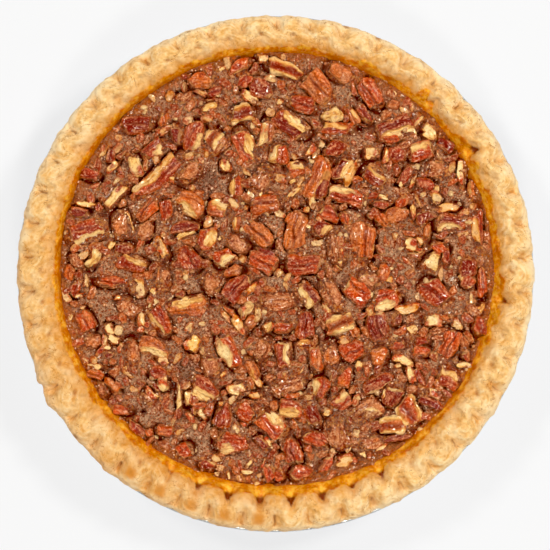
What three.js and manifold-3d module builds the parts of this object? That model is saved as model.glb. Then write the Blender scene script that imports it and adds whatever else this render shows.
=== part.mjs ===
// Pecan pie in its foil tin. Millimetres, +Z up, origin in the middle of the tin's underside.
//
// A round tin of thin foil with a rolled edge holds a shell of short pastry. The pastry's rim lies on
// the tin's flange and is fluted: pinched into lobes outside and notches inside, with a wavy ridge
// between them. The custard fills the shell. The large pieces of pecan lie in pockets of the custard,
// and the smaller ones are one solid with it.
import * as THREE from "three";
import Module from "manifold-3d";
import { mergeVertices } from "three/addons/utils/BufferGeometryUtils.js";

const wasm = await Module();
wasm.setup();

// ---- driving dimensions -------------------------------------------------------------------------
const GAP = 0.35;                 // clearance between pieces that touch

const TIN_RADIUS = 122;           // outside of the rolled edge
const TIN_BASE_RADIUS = 92;
const TIN_THROAT_RADIUS = 111;    // where the wall meets the flange
const TIN_FLANGE_Z = 29.6;        // underside of the flange
const TIN_SHEET = 0.6;            // foil is 0.1; thicker here so that it is a solid
const TIN_BEAD = 1.2;             // radius of the rolled edge
const TIN_SIDES = 48;

const RING_CENTRE = [0.35, 2.44]; // the fluting and the filling sit a little off the tin's centre
const FLUTES = 46;
const FIRST_CREASE = THREE.MathUtils.degToRad(-90.2);
const CRUST_EDGE_RADIUS = 121.2;
const CRUST_FLOOR = 3.0;          // thickness of the pastry under the filling
const FILL_RADIUS = 102.5;        // where the custard meets the pastry
const FILL_Z = 30.6;              // level of the custard at its edge
const FILL_DOME = 0.4;            // rise of the custard to its middle
const CRUST_RIDGE_Z = 38.9;       // crest of the fluted ridge

// Two torn flaps of pastry hang past the edge: direction in degrees, reach and half width in mm.
const FLAPS = [
  { turn: -130, reach: 1.5, halfWidth: 5.5 },
  { turn: -151, reach: 2.4, halfWidth: 7.0 },
];

const NUT_HEIGHT = 6.6;           // thickness of a pecan half; half of it is sunk in the custard
const CHIP_HEIGHT = 4.6;
const SMALLEST_EDGE = 0.12;       // detail of the custard that is dropped after the cuts

// ---- small tools --------------------------------------------------------------------------------
function seeded(seed) {
  let state = seed;
  return () => {
    state = (state + 0x6d2b79f5) | 0;
    let t = Math.imul(state ^ (state >>> 15), 1 | state);
    t = (t + Math.imul(t ^ (t >>> 7), 61 | t)) ^ t;
    return ((t ^ (t >>> 14)) >>> 0) / 4294967296;
  };
}

function middleOf(ring) {
  return [0, 1, 2].map((k) => ring.reduce((sum, point) => sum + point[k], 0) / ring.length);
}

// A closed body from rings of points. The rings turn anticlockwise round the way they follow each
// other and may have different counts. A fan closes each end, round the middle of the last ring
// or round a ring of one point, which is a tip.
function skin(rings) {
  const tipped = [
    ...(rings[0].length > 1 ? [[middleOf(rings[0])]] : []),
    ...rings,
    ...(rings.at(-1).length > 1 ? [[middleOf(rings.at(-1))]] : []),
  ];
  const positions = [];
  const index = [];
  const numbered = tipped.map((ring) => ring.map((point) => positions.push(...point) / 3 - 1));
  for (let k = 0; k + 1 < numbered.length; k += 1) {
    const a = numbered[k];
    const b = numbered[k + 1];
    let i = 0;
    let j = 0;
    while ((a.length > 1 && i < a.length) || (b.length > 1 && j < b.length)) {
      const stepA = a.length > 1
        && (b.length === 1 || j === b.length || (i < a.length && (i + 1) / a.length <= (j + 1) / b.length));
      if (stepA) {
        index.push(a[i % a.length], a[(i + 1) % a.length], b[j % b.length]);
        i += 1;
      } else {
        index.push(a[i % a.length], b[(j + 1) % b.length], b[j % b.length]);
        j += 1;
      }
    }
  }
  const geometry = new THREE.BufferGeometry();
  geometry.setAttribute("position", new THREE.Float32BufferAttribute(positions, 3));
  geometry.setIndex(index);
  return geometry;
}

function toManifold(geometry) {
  const merged = mergeVertices(geometry, 1e-5);
  return new wasm.Manifold(new wasm.Mesh({
    numProp: 3,
    vertProperties: new Float32Array(merged.attributes.position.array),
    triVerts: new Uint32Array(merged.index.array),
  }));
}

function toGeometry(manifold) {
  const mesh = manifold.getMesh();
  const geometry = new THREE.BufferGeometry();
  geometry.setAttribute("position", new THREE.Float32BufferAttribute(mesh.vertProperties, 3));
  geometry.setIndex([...mesh.triVerts]);
  return geometry;
}

function named(name, geometry, color, roughness, metalness) {
  const mesh = new THREE.Mesh(
    geometry,
    new THREE.MeshStandardMaterial({ color, roughness, metalness, flatShading: true }),
  );
  mesh.name = name;
  return mesh;
}

// ---- the foil tin -------------------------------------------------------------------------------
function foilTin() {
  const beadZ = TIN_FLANGE_Z + TIN_SHEET / 2;
  const beadRadius = TIN_RADIUS - TIN_BEAD;
  const profile = [
    [TIN_BASE_RADIUS - 1.5, 0],
    [TIN_BASE_RADIUS, 1.0],
    [TIN_THROAT_RADIUS - 0.4, TIN_FLANGE_Z - 1.0],
    [TIN_THROAT_RADIUS + 1.0, TIN_FLANGE_Z],
    [beadRadius, beadZ - TIN_BEAD],
    [TIN_RADIUS, beadZ - TIN_BEAD / 2],
    [TIN_RADIUS, beadZ + TIN_BEAD / 2],
    [beadRadius, beadZ + TIN_BEAD],
    [beadRadius - TIN_BEAD, TIN_FLANGE_Z + TIN_SHEET],
    [TIN_THROAT_RADIUS + 1.2, TIN_FLANGE_Z + TIN_SHEET],
    [TIN_THROAT_RADIUS - 0.1, TIN_FLANGE_Z - 0.4],
    [TIN_BASE_RADIUS + 0.4, 1.6],
    [TIN_BASE_RADIUS - 1.0, TIN_SHEET],
  ];
  return skin(profile.map(([radius, z]) => Array.from({ length: TIN_SIDES }, (_, i) => {
    const angle = (2 * Math.PI * i) / TIN_SIDES;
    return [radius * Math.cos(angle), radius * Math.sin(angle), z];
  })));
}

// ---- the pastry shell ---------------------------------------------------------------------------
// Round points follow the fluting's own centre inside and the tin's centre at the outer edge.
function ringPoint(radius, angle, z) {
  const share = THREE.MathUtils.clamp((117 - radius) / 8, 0, 1);
  return [
    share * RING_CENTRE[0] + radius * Math.cos(angle),
    share * RING_CENTRE[1] + radius * Math.sin(angle),
    z,
  ];
}

function plainRing(count, radius, z, centred = false) {
  return Array.from({ length: count }, (_, i) => {
    const angle = FIRST_CREASE + (2 * Math.PI * i) / count;
    if (!centred) return [radius * Math.cos(angle), radius * Math.sin(angle), z];
    return [
      RING_CENTRE[0] + radius * Math.cos(angle),
      RING_CENTRE[1] + radius * Math.sin(angle),
      z,
    ];
  });
}

function flapReach(angle) {
  let reach = 0;
  for (const flap of FLAPS) {
    const turn = THREE.MathUtils.degToRad(flap.turn);
    const apart = Math.atan2(Math.sin(angle - turn), Math.cos(angle - turn)) * CRUST_EDGE_RADIUS;
    reach += flap.reach * Math.max(0, 1 - (apart / flap.halfWidth) ** 2);
  }
  return reach;
}

// Each fluted ring gives radius and height at a crease, halfway, and at a notch. `rough` is how far
// the hand that pinched it strayed, and `flap` is the share of a torn flap's reach that it takes.
const FLUTED_RINGS = [
  { at: [[120.6, 31.7], [121.0, 31.7], [121.1, 31.7]], rough: 0.1, flap: 1 },
  { at: [[120.5, 32.9], [121.1, 33.2], [121.2, 33.4]], rough: 0.25, flap: 1 },
  { at: [[119.7, 33.7], [120.5, 35.6], [120.8, 36.1]], rough: 0.3, flap: 0.4 },
  { at: [[116.4, 34.3], [118.3, 37.7], [118.8, 37.6]], rough: 0.3, flap: 0 },
  { at: [[111.9, 36.6], [114.2, 38.5], [115.8, 38.2]], rough: 0.3, flap: 0 },
  { at: [[108.6, 38.9], [110.8, 39.0], [113.2, 38.9]], rough: 0.4, flap: 0 },
  { at: [[105.9, 37.6], [107.6, 37.2], [111.2, 36.6]], rough: 0.3, flap: 0 },
  { at: [[104.5, 34.4], [104.9, 34.1], [105.9, 32.9]], rough: 0.2, flap: 0 },
];
const FLUTE_RIDGE_Z = 38.9;       // the height that the rings above are drawn for

function pastryShell() {
  const random = seeded(11);
  const wander = Array.from({ length: FLUTES }, () => random() - 0.5);
  const fluted = FLUTED_RINGS.map(({ at, rough, flap }) => Array.from({ length: 4 * FLUTES }, (_, i) => {
    const [radius, z] = [at[0], at[1], at[2], at[1]][i % 4];
    const angle = FIRST_CREASE + (2 * Math.PI * i) / (4 * FLUTES);
    const drift = wander[Math.floor(((i + 2) % (4 * FLUTES)) / 4)];
    const out = radius + rough * (drift + random() - 0.5) + flap * flapReach(angle);
    const lift = CRUST_RIDGE_Z - FLUTE_RIDGE_Z + rough * (2 * drift + 0.6 * (random() - 0.5));
    return ringPoint(out, angle, z + (z > 32 ? lift : 0));
  }));
  return skin([
    plainRing(FLUTES, TIN_BASE_RADIUS - 1.7, TIN_SHEET + GAP),
    plainRing(FLUTES, TIN_BASE_RADIUS - 0.4, TIN_SHEET + GAP + 1.0),
    plainRing(FLUTES, TIN_THROAT_RADIUS - 0.9, TIN_FLANGE_Z - 0.7),
    plainRing(FLUTES, TIN_THROAT_RADIUS + 0.6, TIN_FLANGE_Z + TIN_SHEET + GAP),
    plainRing(FLUTES, TIN_RADIUS - 3.6, TIN_FLANGE_Z + TIN_SHEET + GAP),
    ...fluted,
    plainRing(2 * FLUTES, FILL_RADIUS + GAP, FILL_Z - 1.0, true),
    plainRing(FLUTES, TIN_BASE_RADIUS - 3.5, TIN_SHEET + GAP + CRUST_FLOOR),
  ]);
}

// ---- the nuts -----------------------------------------------------------------------------------
// Sections across a piece of pecan, as shares of its width and height, anticlockwise seen along it.
// A half has two furrows in its skin, a split one a broken face on its left, and a belly is a half
// lying on its back, with the deep furrow of its inner side up.
const SECTIONS = {
  half: [[0.34, -0.5], [0.5, -0.05], [0.38, 0.33], [0.18, 0.27], [0, 0.5],
    [-0.18, 0.27], [-0.38, 0.33], [-0.5, -0.05], [-0.34, -0.5]],
  split: [[0.36, -0.5], [0.5, -0.1], [0.08, 0.46], [-0.26, 0.42], [-0.5, -0.02], [-0.36, -0.5]],
  skin: [[0.36, -0.5], [0.5, -0.05], [0.3, 0.38], [-0.05, 0.5], [-0.34, 0.36], [-0.5, -0.05], [-0.36, -0.5]],
  belly: [[0.34, -0.5], [0.5, 0.02], [0.34, 0.42], [0.12, 0.3], [-0.04, 0.1],
    [-0.2, 0.32], [-0.38, 0.42], [-0.5, 0], [-0.34, -0.5]],
};
// Along a piece: place, share of the width and share of the height.
const STATIONS = {
  half: [[-0.5, 0.36, 0.6], [-0.18, 1, 1], [0.2, 0.97, 1], [0.5, 0.4, 0.6]],
  split: [[-0.5, 0.62, 0.72], [-0.26, 1, 1], [0.24, 0.96, 1], [0.5, 0.56, 0.7]],
};
STATIONS.skin = STATIONS.split;
STATIONS.belly = STATIONS.half;

// A piece that would reach the pastry is moved towards the middle until it clears it.
function withinShell(piece) {
  const angle = THREE.MathUtils.degToRad(piece.turn);
  const away = new THREE.Vector2(piece.at[0] - RING_CENTRE[0], piece.at[1] - RING_CENTRE[1]);
  const reach = Math.max(...[[1, 1], [1, -1], [-1, 1], [-1, -1]].map(([s, t]) => {
    const along = (s * piece.length) / 2;
    const across = (t * piece.width) / 2;
    return Math.hypot(
      away.x + along * Math.cos(angle) - across * Math.sin(angle),
      away.y + along * Math.sin(angle) + across * Math.cos(angle),
    );
  }));
  const over = Math.max(0, reach - (FILL_RADIUS - 1.6));
  away.setLength(away.length() - over);
  return { ...piece, at: [RING_CENTRE[0] + away.x, RING_CENTRE[1] + away.y] };
}

function place(rings, [x, y], turn, z) {
  const angle = THREE.MathUtils.degToRad(turn);
  return rings.map((ring) => ring.map(([along, across, up]) => [
    x + along * Math.cos(angle) - across * Math.sin(angle),
    y + along * Math.sin(angle) + across * Math.cos(angle),
    z + up,
  ]));
}

function nut({ at, length, width, turn, kind }, height, z) {
  const rings = STATIONS[kind].map(([t, wide, high]) => SECTIONS[kind].map(([across, up]) => [
    t * length, across * width * wide, up * height * high,
  ]));
  return skin(place(rings, at, turn, z));
}

// A chip: a small ridged piece with pointed ends, its lower half in the custard.
function chip({ at, length, width, turn }, height, z) {
  const section = (along) => [[0.5, -0.3], [0.16, 0.5], [-0.26, 0.38], [-0.5, -0.3]]
    .map(([across, up]) => [along * length, across * width, up * height]);
  const rings = [[[-0.5 * length, 0, 0]], section(-0.22), section(0.26), [[0.5 * length, 0, 0]]];
  return skin(place(rings, at, turn, z));
}

// The pocket that a nut lies in: an eight-sided well round its outline, open upwards.
function pocket({ at, length, width, turn }, height, z) {
  const outline = [
    [length / 2 + GAP, -0.31 * width - 0.6 * GAP], [length / 2 + GAP, 0.31 * width + 0.6 * GAP],
    [0.275 * length, width / 2 + GAP], [-0.275 * length, width / 2 + GAP],
    [-length / 2 - GAP, 0.31 * width + 0.6 * GAP], [-length / 2 - GAP, -0.31 * width - 0.6 * GAP],
    [-0.275 * length, -width / 2 - GAP], [0.275 * length, -width / 2 - GAP],
  ];
  const level = (up) => outline.map(([along, across]) => [along, across, up]);
  return skin(place([level(-height / 2 - GAP), level(height)], at, turn, z));
}

// Large pieces, each lying where it fell: place, length, width, direction of its length, and kind.
// A split piece's broken face is on the left of that direction.
const NUTS = [
  [-54.5, 47.5, 30, 8.5, 43, "split"], [-89.0, 19.5, 21, 11, 194, "split"],
  [-41, 33.5, 17, 10, 150, "split"], [20, 88, 17, 10.5, 310, "half"],
  [45, 85, 17, 8.5, 305, "half"], [7.5, 70.5, 20, 9.5, 330, "split"],
  [57.5, 69, 21, 10.5, 198, "split"], [-14, 61, 19, 8.5, 298, "split"],
  [-38.2, 64.8, 15.5, 9.5, 255, "split"], [19.5, 44, 24, 8.5, 245, "split"],
  [33, 37, 20, 7.5, 345, "split"], [32, 49.5, 14, 8, 242, "split"],
  [10, 20.5, 19.5, 9.5, 80, "half"], [14, 4.8, 19, 9, 2, "half"],
  [29, 12.5, 16, 9, 100, "half"], [41.5, 15.5, 22, 10.5, 86, "half"],
  [-4.5, 32.8, 16, 8.5, 8, "half"], [-8, 19, 17, 8, 318, "half"],
  [-6, 6, 15, 9, 332, "half"], [-40.8, 7, 14, 9, 308, "half"],
  [-18, -6.5, 18, 9, 48, "half"], [-41, -14.8, 20, 9, 8, "split"],
  [-30.8, -4.3, 12.5, 8, 302, "skin"], [-77.5, -4, 15.5, 5.5, 358, "skin"],
  [-54.5, -22, 17, 8.5, 120, "split"], [-57.5, -35, 16, 8, 152, "split"],
  [-22, -36.5, 18, 8.5, 118, "split"], [-5.5, -36, 13.5, 8, 62, "half"],
  [15, -9.5, 13.5, 8.5, 128, "split"], [38.5, -7, 15, 11, 330, "skin"],
  [14.1, -24, 14.5, 8, 92, "half"], [31, -23.5, 15, 9, 22, "belly"],
  [37, -36, 13, 9.5, 25, "half"], [52.8, -12, 14, 9, 197, "split"],
  [48.5, -25.5, 15, 9.5, 290, "half"], [75.5, -8.8, 17, 10.5, 322, "half"],
  [82.3, -32.8, 15.5, 7.5, 62, "half"], [63, -65.2, 14, 12, 295, "belly"],
  [-34, -54.5, 15, 9.5, 145, "split"], [-1, -70.5, 17, 11.5, 310, "split"],
  [-21, -80, 16.5, 9, 177, "split"], [-25, -67, 13, 8, 75, "skin"],
  [82, 23.5, 15.5, 8.5, 175, "split"], [20.2, -53.5, 11, 9.5, 92, "split"],
  [43, -64.5, 15.5, 10, 208, "split"], [8.2, -84.3, 14, 8.5, 285, "half"],
  [-16.1, 75.6, 13.5, 8.5, 12, "belly"], [48.5, -51.5, 15, 8, 35, "skin"],
  [-60.2, 31.2, 14.5, 7, 48, "half"], [19, -40.1, 14.5, 6.5, 98, "skin"],
].map(([x, y, length, width, turn, kind]) => withinShell({ at: [x, y], length, width, turn, kind }));

// Smaller pieces, one solid with the custard: place, length, width and direction of the length.
const CHIPS = [
  [-65, 70.5, 16, 8, 5], [-57.5, 59, 12, 6, 218], [-66, 52, 10.5, 6.5, 100], [-34.5, 90.5, 13.5, 7, 2],
  [-15.5, 95, 15, 9, 42], [4, 96.5, 18, 6.5, 340], [-7.5, 87.5, 11, 8, 330], [-29.5, 65, 9, 7, 60],
  [-25.5, 60, 11, 4.5, 45], [-4.5, 66.5, 14, 6, 80], [-47, 66.5, 10, 6, 100], [-44, 83, 10, 5, 10],
  [-1, 57, 9, 8, 85], [30, 95.5, 13, 8, 330], [12, 81, 14, 7.5, 345], [27, 75.5, 9.5, 7, 20],
  [29.5, 68.5, 15.5, 5, 357], [28, 60, 10.5, 7, 30], [72.5, 67, 8, 6.5, 325], [68.5, 58, 12, 7.5, 20],
  [80, 61, 8, 6, 0], [57.5, 56.5, 8, 7, 0], [-86.5, 47, 9, 6, 345], [-75.5, 37, 16, 5.5, 52],
  [-72.5, 22.5, 13, 8, 100], [-61.5, 20, 10.5, 7, 80], [-90, 31, 9, 6, 0], [-72.5, 12.5, 11, 5.5, 5],
  [-67, 4.5, 15, 7, 345], [-86.5, 6, 9.5, 5.5, 60], [-95, 5.5, 9, 5, 310], [-53.5, 11.5, 11, 6, 300],
  [-51.5, 29.5, 11, 5, 90], [-27, 31, 10.5, 8.5, 350], [-42.5, 20.5, 13.5, 6, 10],
  [-32.5, 16.5, 12.5, 8, 250], [-24, 6.5, 10, 7.5, 215], [-19.5, 41, 12.5, 4.5, 92],
  [-6.5, 45.5, 14, 8, 48], [-18, 13, 10, 7.5, 330], [-41, 49, 12, 8.5, 30], [9.5, 51, 9, 6, 10],
  [22.5, 25.5, 9, 5.5, 340], [46, 46.5, 12, 7, 320], [56.5, 27, 12, 6.5, 20], [52, 2, 8.5, 6, 70],
  [61, 46, 10, 5.5, 50], [76, 50, 10.5, 8.5, 0], [70.5, 42, 9, 5.5, 350], [64, 14.5, 7.5, 6, 335],
  [73.5, 6.5, 10, 7, 25], [91, 2.5, 10, 8, 95], [95, 20, 17, 4, 93], [-64.5, -7, 8.5, 8, 0],
  [-52.8, -2.5, 12, 7.5, 95], [-89.5, -22, 11, 7.5, 300], [-78, -27.5, 10.5, 5, 310],
  [-69, -15, 11, 8, 315], [-86, -32, 7.5, 6.5, 0], [-68, -37, 13, 6, 95], [-19.5, -22, 11, 4.5, 310],
  [-38.5, -33, 8.5, 6.5, 50], [-31, -43, 11, 7, 285], [-11, -47, 14, 4.8, 303], [1, -25, 11, 6.5, 0],
  [0.5, -12.5, 14, 6.5, 0], [26.5, -9, 15, 7, 295], [4, -38.5, 12, 7, 275], [62, -16.8, 11, 4.8, 8],
  [75, -22, 9.5, 5.5, 355], [69, -35, 9, 7, 357], [66, -48, 10.5, 6.5, 300], [82, -49, 11, 8, 330],
  [96, -25, 8.5, 5.5, 95], [-58, -57.5, 10, 6.5, 325], [-72, -64.5, 10, 5, 357],
  [-52, -74, 10.5, 6, 352], [-18, -54, 8.5, 6, 30], [-14.5, -66.5, 9.5, 7.5, 300],
  [-43, -84, 9.5, 6.5, 70], [-32, -90, 8.5, 5.5, 310], [-3.5, -93, 10, 6.5, 290],
  [7, -50, 13, 6.5, 22], [6, -60.5, 12, 5, 355], [17, -67.5, 12, 6, 298], [32, -60, 11.5, 6.5, 36],
  [33, -50, 8, 6.5, 80], [29, -71.5, 11, 8, 290], [30.5, -81, 8.5, 7, 60], [18.5, -78, 9, 5.5, 345],
  [13, -94.5, 9, 7, 30], [35, -88.5, 9, 6, 20], [47, -79, 10, 6, 10], [56.5, -56.5, 9.5, 6.5, 55],
  [73.5, -60.5, 12, 4.2, 332], [55, -73, 11, 6.5, 345],
].map(([x, y, length, width, turn]) => withinShell({ at: [x, y], length, width, turn }));

// ---- the custard --------------------------------------------------------------------------------
function custardLevel(x, y) {
  const out = Math.hypot(x - RING_CENTRE[0], y - RING_CENTRE[1]) / FILL_RADIUS;
  return FILL_Z + FILL_DOME * (1 - out * out);
}

function custard() {
  const levels = [[2, 0.985], [1, 0.7], [0.5, 0.35]];
  const top = levels.map(([share, out]) => plainRing(share * FLUTES, out * FILL_RADIUS, 0, true)
    .map(([x, y]) => [x, y, custardLevel(x, y)]));
  return skin([
    plainRing(FLUTES, TIN_BASE_RADIUS - 3.5 - GAP, TIN_SHEET + 2 * GAP + CRUST_FLOOR),
    plainRing(2 * FLUTES, FILL_RADIUS, FILL_Z - 0.8, true),
    ...top,
  ]);
}

function lift(random, spread) {
  return spread * (random() - 0.5);
}

function filling(nutPlaces) {
  const random = seeded(29);
  let solid = toManifold(custard());
  for (const piece of CHIPS) {
    const z = custardLevel(...piece.at) + 0.2 + lift(random, 0.8);
    solid = solid.add(toManifold(chip(piece, CHIP_HEIGHT, z)));
  }
  for (const { piece, z } of nutPlaces) {
    solid = solid.subtract(toManifold(pocket(piece, NUT_HEIGHT, z)));
  }
  // Pockets can cut a chip through, so only the custard's own body is kept.
  const bodies = solid.decompose();
  const body = bodies.reduce((a, b) => (b.volume() > a.volume() ? b : a));
  return toGeometry(body.simplify(SMALLEST_EDGE));
}

// ---- the whole pie ------------------------------------------------------------------------------
const random = seeded(5);
const nutPlaces = NUTS.map((piece) => ({
  piece, z: custardLevel(...piece.at) - 0.1 + lift(random, 0.9),
}));

const pie = new THREE.Group();
pie.add(named("foil_tin", foilTin(), 0xb9bcc0, 0.35, 1));
pie.add(named("crust", pastryShell(), 0xe3b673, 0.8, 0));
pie.add(named("filling", filling(nutPlaces), 0x7d4a33, 0.4, 0));
nutPlaces.forEach(({ piece, z }, i) => {
  const name = `pecan_${String(i + 1).padStart(2, "0")}`;
  pie.add(named(name, nut(piece, NUT_HEIGHT, z), 0x9c4b2b, 0.45, 0));
});

export default pie;
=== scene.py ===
"""A whole pecan pie in its foil tin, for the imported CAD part. Lengths are in mm, and make_piece turns
them into metres."""
import math

import bmesh
import bpy
import numpy as np
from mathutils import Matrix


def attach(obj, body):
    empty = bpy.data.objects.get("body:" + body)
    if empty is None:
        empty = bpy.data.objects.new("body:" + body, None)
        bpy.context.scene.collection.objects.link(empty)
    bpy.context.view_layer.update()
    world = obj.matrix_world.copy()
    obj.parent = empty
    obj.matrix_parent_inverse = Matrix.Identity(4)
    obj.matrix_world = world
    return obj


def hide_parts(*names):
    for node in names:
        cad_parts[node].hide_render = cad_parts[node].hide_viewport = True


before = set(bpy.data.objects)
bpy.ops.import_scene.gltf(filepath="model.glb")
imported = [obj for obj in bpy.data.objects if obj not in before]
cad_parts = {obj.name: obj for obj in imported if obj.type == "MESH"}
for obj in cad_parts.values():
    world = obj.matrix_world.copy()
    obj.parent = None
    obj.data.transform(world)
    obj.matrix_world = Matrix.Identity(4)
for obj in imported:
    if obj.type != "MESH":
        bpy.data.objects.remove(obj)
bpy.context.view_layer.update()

# ---- Foil tin ------------------------------------------------------------------------------------
# A pie tin pressed from thin aluminium foil. Pressing the flat sheet into a dish gathers it into
# pleats up the wall. Its edge is rolled outwards over itself, and the pastry hides all but that roll.

TIN_RADIUS = 122.0
TIN_ROLL = 1.2
TIN_FLANGE_HEIGHT = 29.6
TIN_FOIL = 0.25
TIN_PLEATS = 112
COLUMNS_PER_PLEAT = 8
# Radius and height of the base's outer face, with its raised ring, from the middle outwards.
TIN_BASE = [(0.5, 0.35), (30, 0.35), (58, 0.3), (60, 0.9), (64, 0.9), (66, 0.3), (84, 0.0)]
TIN_WALL_RUN = 18.0
TIN_WALL_RISE = 27.2


def linear(hex_colour):
    """An sRGB hex colour as Blender's linear RGBA."""
    channels = [int(hex_colour[i:i + 2], 16) / 255 for i in (0, 2, 4)]
    return tuple(c / 12.92 if c <= 0.04045 else ((c + 0.055) / 1.055) ** 2.4 for c in channels) + (1.0,)


def feed(tree, node, inputs):
    """Links each input that is given a socket, and sets the others to what they are given."""
    for key, value in inputs.items():
        if isinstance(value, bpy.types.NodeSocket):
            tree.links.new(value, node.inputs[key])
        else:
            node.inputs[key].default_value = value


def add(tree, kind, inputs=None, **settings):
    """Adds one node with its settings, links and values."""
    new = tree.nodes.new(kind)
    for key, value in settings.items():
        setattr(new, key, value)
    feed(tree, new, inputs or {})
    return new


def paint(tree, base, *layers):
    """Lays colours over a base, one after another. A colour is a hex value, a socket, or a pattern with
    the tones that follow it. A layer is (amount, colour), (pattern, strength, colour), or (pattern, low,
    high, strength, colour) for a pattern that goes from nothing at low to its full strength at high."""
    def colour_socket(colour):
        if isinstance(colour, str):
            return linear(colour)
        if isinstance(colour, bpy.types.NodeSocket):
            return colour
        pattern, tones = colour
        new = add(tree, "ShaderNodeValToRGB", {"Fac": pattern})
        while len(new.color_ramp.elements) < len(tones):
            new.color_ramp.elements.new(0.5)
        for element, (place, tone) in zip(new.color_ramp.elements, tones):
            element.position = place
            element.color = linear(tone)
        return new.outputs["Color"]

    base = colour_socket(base)
    for amount, *limits, colour in layers:
        if len(limits) == 1:
            amount = add(tree, "ShaderNodeMath", {0: amount, 1: limits[0]},
                         operation="MULTIPLY", use_clamp=True).outputs[0]
        if len(limits) == 3:
            low, high, strength = limits
            amount = add(tree, "ShaderNodeMapRange", {
                "Value": amount, "From Min": low, "From Max": high, "To Max": strength}).outputs["Result"]
        mixed = add(tree, "ShaderNodeMix", {0: amount, 6: base, 7: colour_socket(colour)}, data_type="RGBA")
        base = mixed.outputs[2]
    return base


def new_material(name):
    """An empty material with its output and one Principled shader."""
    material = bpy.data.materials.new(name)
    material.use_nodes = True
    tree = material.node_tree
    tree.nodes.clear()
    shader = tree.nodes.new("ShaderNodeBsdfPrincipled")
    output = tree.nodes.new("ShaderNodeOutputMaterial")
    tree.links.new(shader.outputs["BSDF"], output.inputs["Surface"])
    return material, tree, shader


def speckle(tree, size_mm, detail=3.0, roughness=0.55, distortion=0.0):
    """Noise whose lumps are about size_mm across, from 0 to 1."""
    where = add(tree, "ShaderNodeTexCoord").outputs["Object"]
    scaled = add(tree, "ShaderNodeMapping", {"Vector": where, "Scale": (1000 / size_mm,) * 3})
    return add(tree, "ShaderNodeTexNoise", {
        "Vector": scaled.outputs["Vector"], "Scale": 1.0, "Detail": detail,
        "Roughness": roughness, "Distortion": distortion}).outputs["Fac"]


def relief(tree, coarse, fine, strength, depth_mm):
    """The normal of a surface that two patterns raise together."""
    height = add(tree, "ShaderNodeMath", {0: coarse, 1: fine}, operation="ADD").outputs[0]
    bump = add(tree, "ShaderNodeBump", {
        "Height": height, "Strength": strength, "Distance": depth_mm * 0.001})
    return bump.outputs["Normal"]


def lumps(points, size, seed, octaves=1):
    """Smooth random numbers from -1 to 1 at points in mm. Size is how far apart the lumps are. Each
    corner of a grid cell gets its number by mixing the bits of its place with large odd numbers."""
    total, weight, amount = np.zeros(len(points)), 0.0, 1.0
    for octave in range(octaves):
        place = points / size * 2 ** octave + 17.3 * (seed + octave + 1)
        cell = np.floor(place).astype(np.int64)
        part = place - cell
        part = part * part * (3 - 2 * part)
        value = np.zeros(len(points))
        for corner in np.ndindex(2, 2, 2):
            key = cell + corner
            mixed = (key[:, 0] * 73856093 ^ key[:, 1] * 19349663 ^ key[:, 2] * 83492791
                     ^ (seed * 7919 + octave) * 2654435761) & 0xFFFFFFFF
            mixed = ((mixed ^ (mixed >> 15)) * 2246822519) & 0xFFFFFFFF
            mixed = ((mixed ^ (mixed >> 13)) * 3266489917) & 0xFFFFFFFF
            share = np.prod(np.where(corner, part, 1 - part), axis=1)
            value += share * (mixed ^ (mixed >> 16)) / 0xFFFFFFFF
        total += amount * (2 * value - 1)
        weight += amount
        amount *= 0.5
    return total / weight


def smooth_step(low, high, value):
    """0 below low, 1 above high and a smooth rise between. High may be the smaller one."""
    t = np.clip((value - low) / (high - low), 0, 1)
    return t * t * (3 - 2 * t)


def grid_faces(rows, columns):
    """Quads of a grid of points whose columns go round, numbered row by row."""
    across = np.arange(columns)
    next_one = (across + 1) % columns
    faces = [np.stack([r * columns + across, r * columns + next_one,
                       (r + 1) * columns + next_one, (r + 1) * columns + across], axis=1)
             for r in range(rows - 1)]
    return np.concatenate(faces)


def place_piece(name, mesh):
    """Puts a mesh in the scene as a piece of the pie, which is all one body."""
    obj = bpy.data.objects.new(name, mesh)
    bpy.context.scene.collection.objects.link(obj)
    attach(obj, "root")
    return obj


def make_piece(name, points, faces, material, marks=None):
    """A smooth-shaded piece of the pie from points in mm. Marks are numbers per point for its material."""
    mesh = bpy.data.meshes.new(name)
    mesh.from_pydata((np.asarray(points) * 0.001).tolist(), [], np.asarray(faces).tolist())
    mesh.shade_smooth()
    for key, values in (marks or {}).items():
        mesh.attributes.new(key, "FLOAT", "POINT").data.foreach_set(
            "value", np.asarray(values, dtype=np.float32))
    mesh.materials.append(material)
    return place_piece(name, mesh)


def tin_material():
    """Bright mill-finish foil, crinkled all over at 1 to 5 mm."""
    material, tree, shader = new_material("Aluminium foil, pressed")
    crinkle = speckle(tree, 5.0, detail=4, roughness=0.6)
    fine = speckle(tree, 1.2, detail=2)
    rough = add(tree, "ShaderNodeMapRange", {"Value": fine, "To Min": 0.22, "To Max": 0.34})
    feed(tree, shader, {
        "Metallic": 1.0, "Base Color": linear("D6D8DB"), "Roughness": rough.outputs["Result"],
        "Normal": relief(tree, crinkle, fine, 0.25, 0.5)})
    return material


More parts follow.
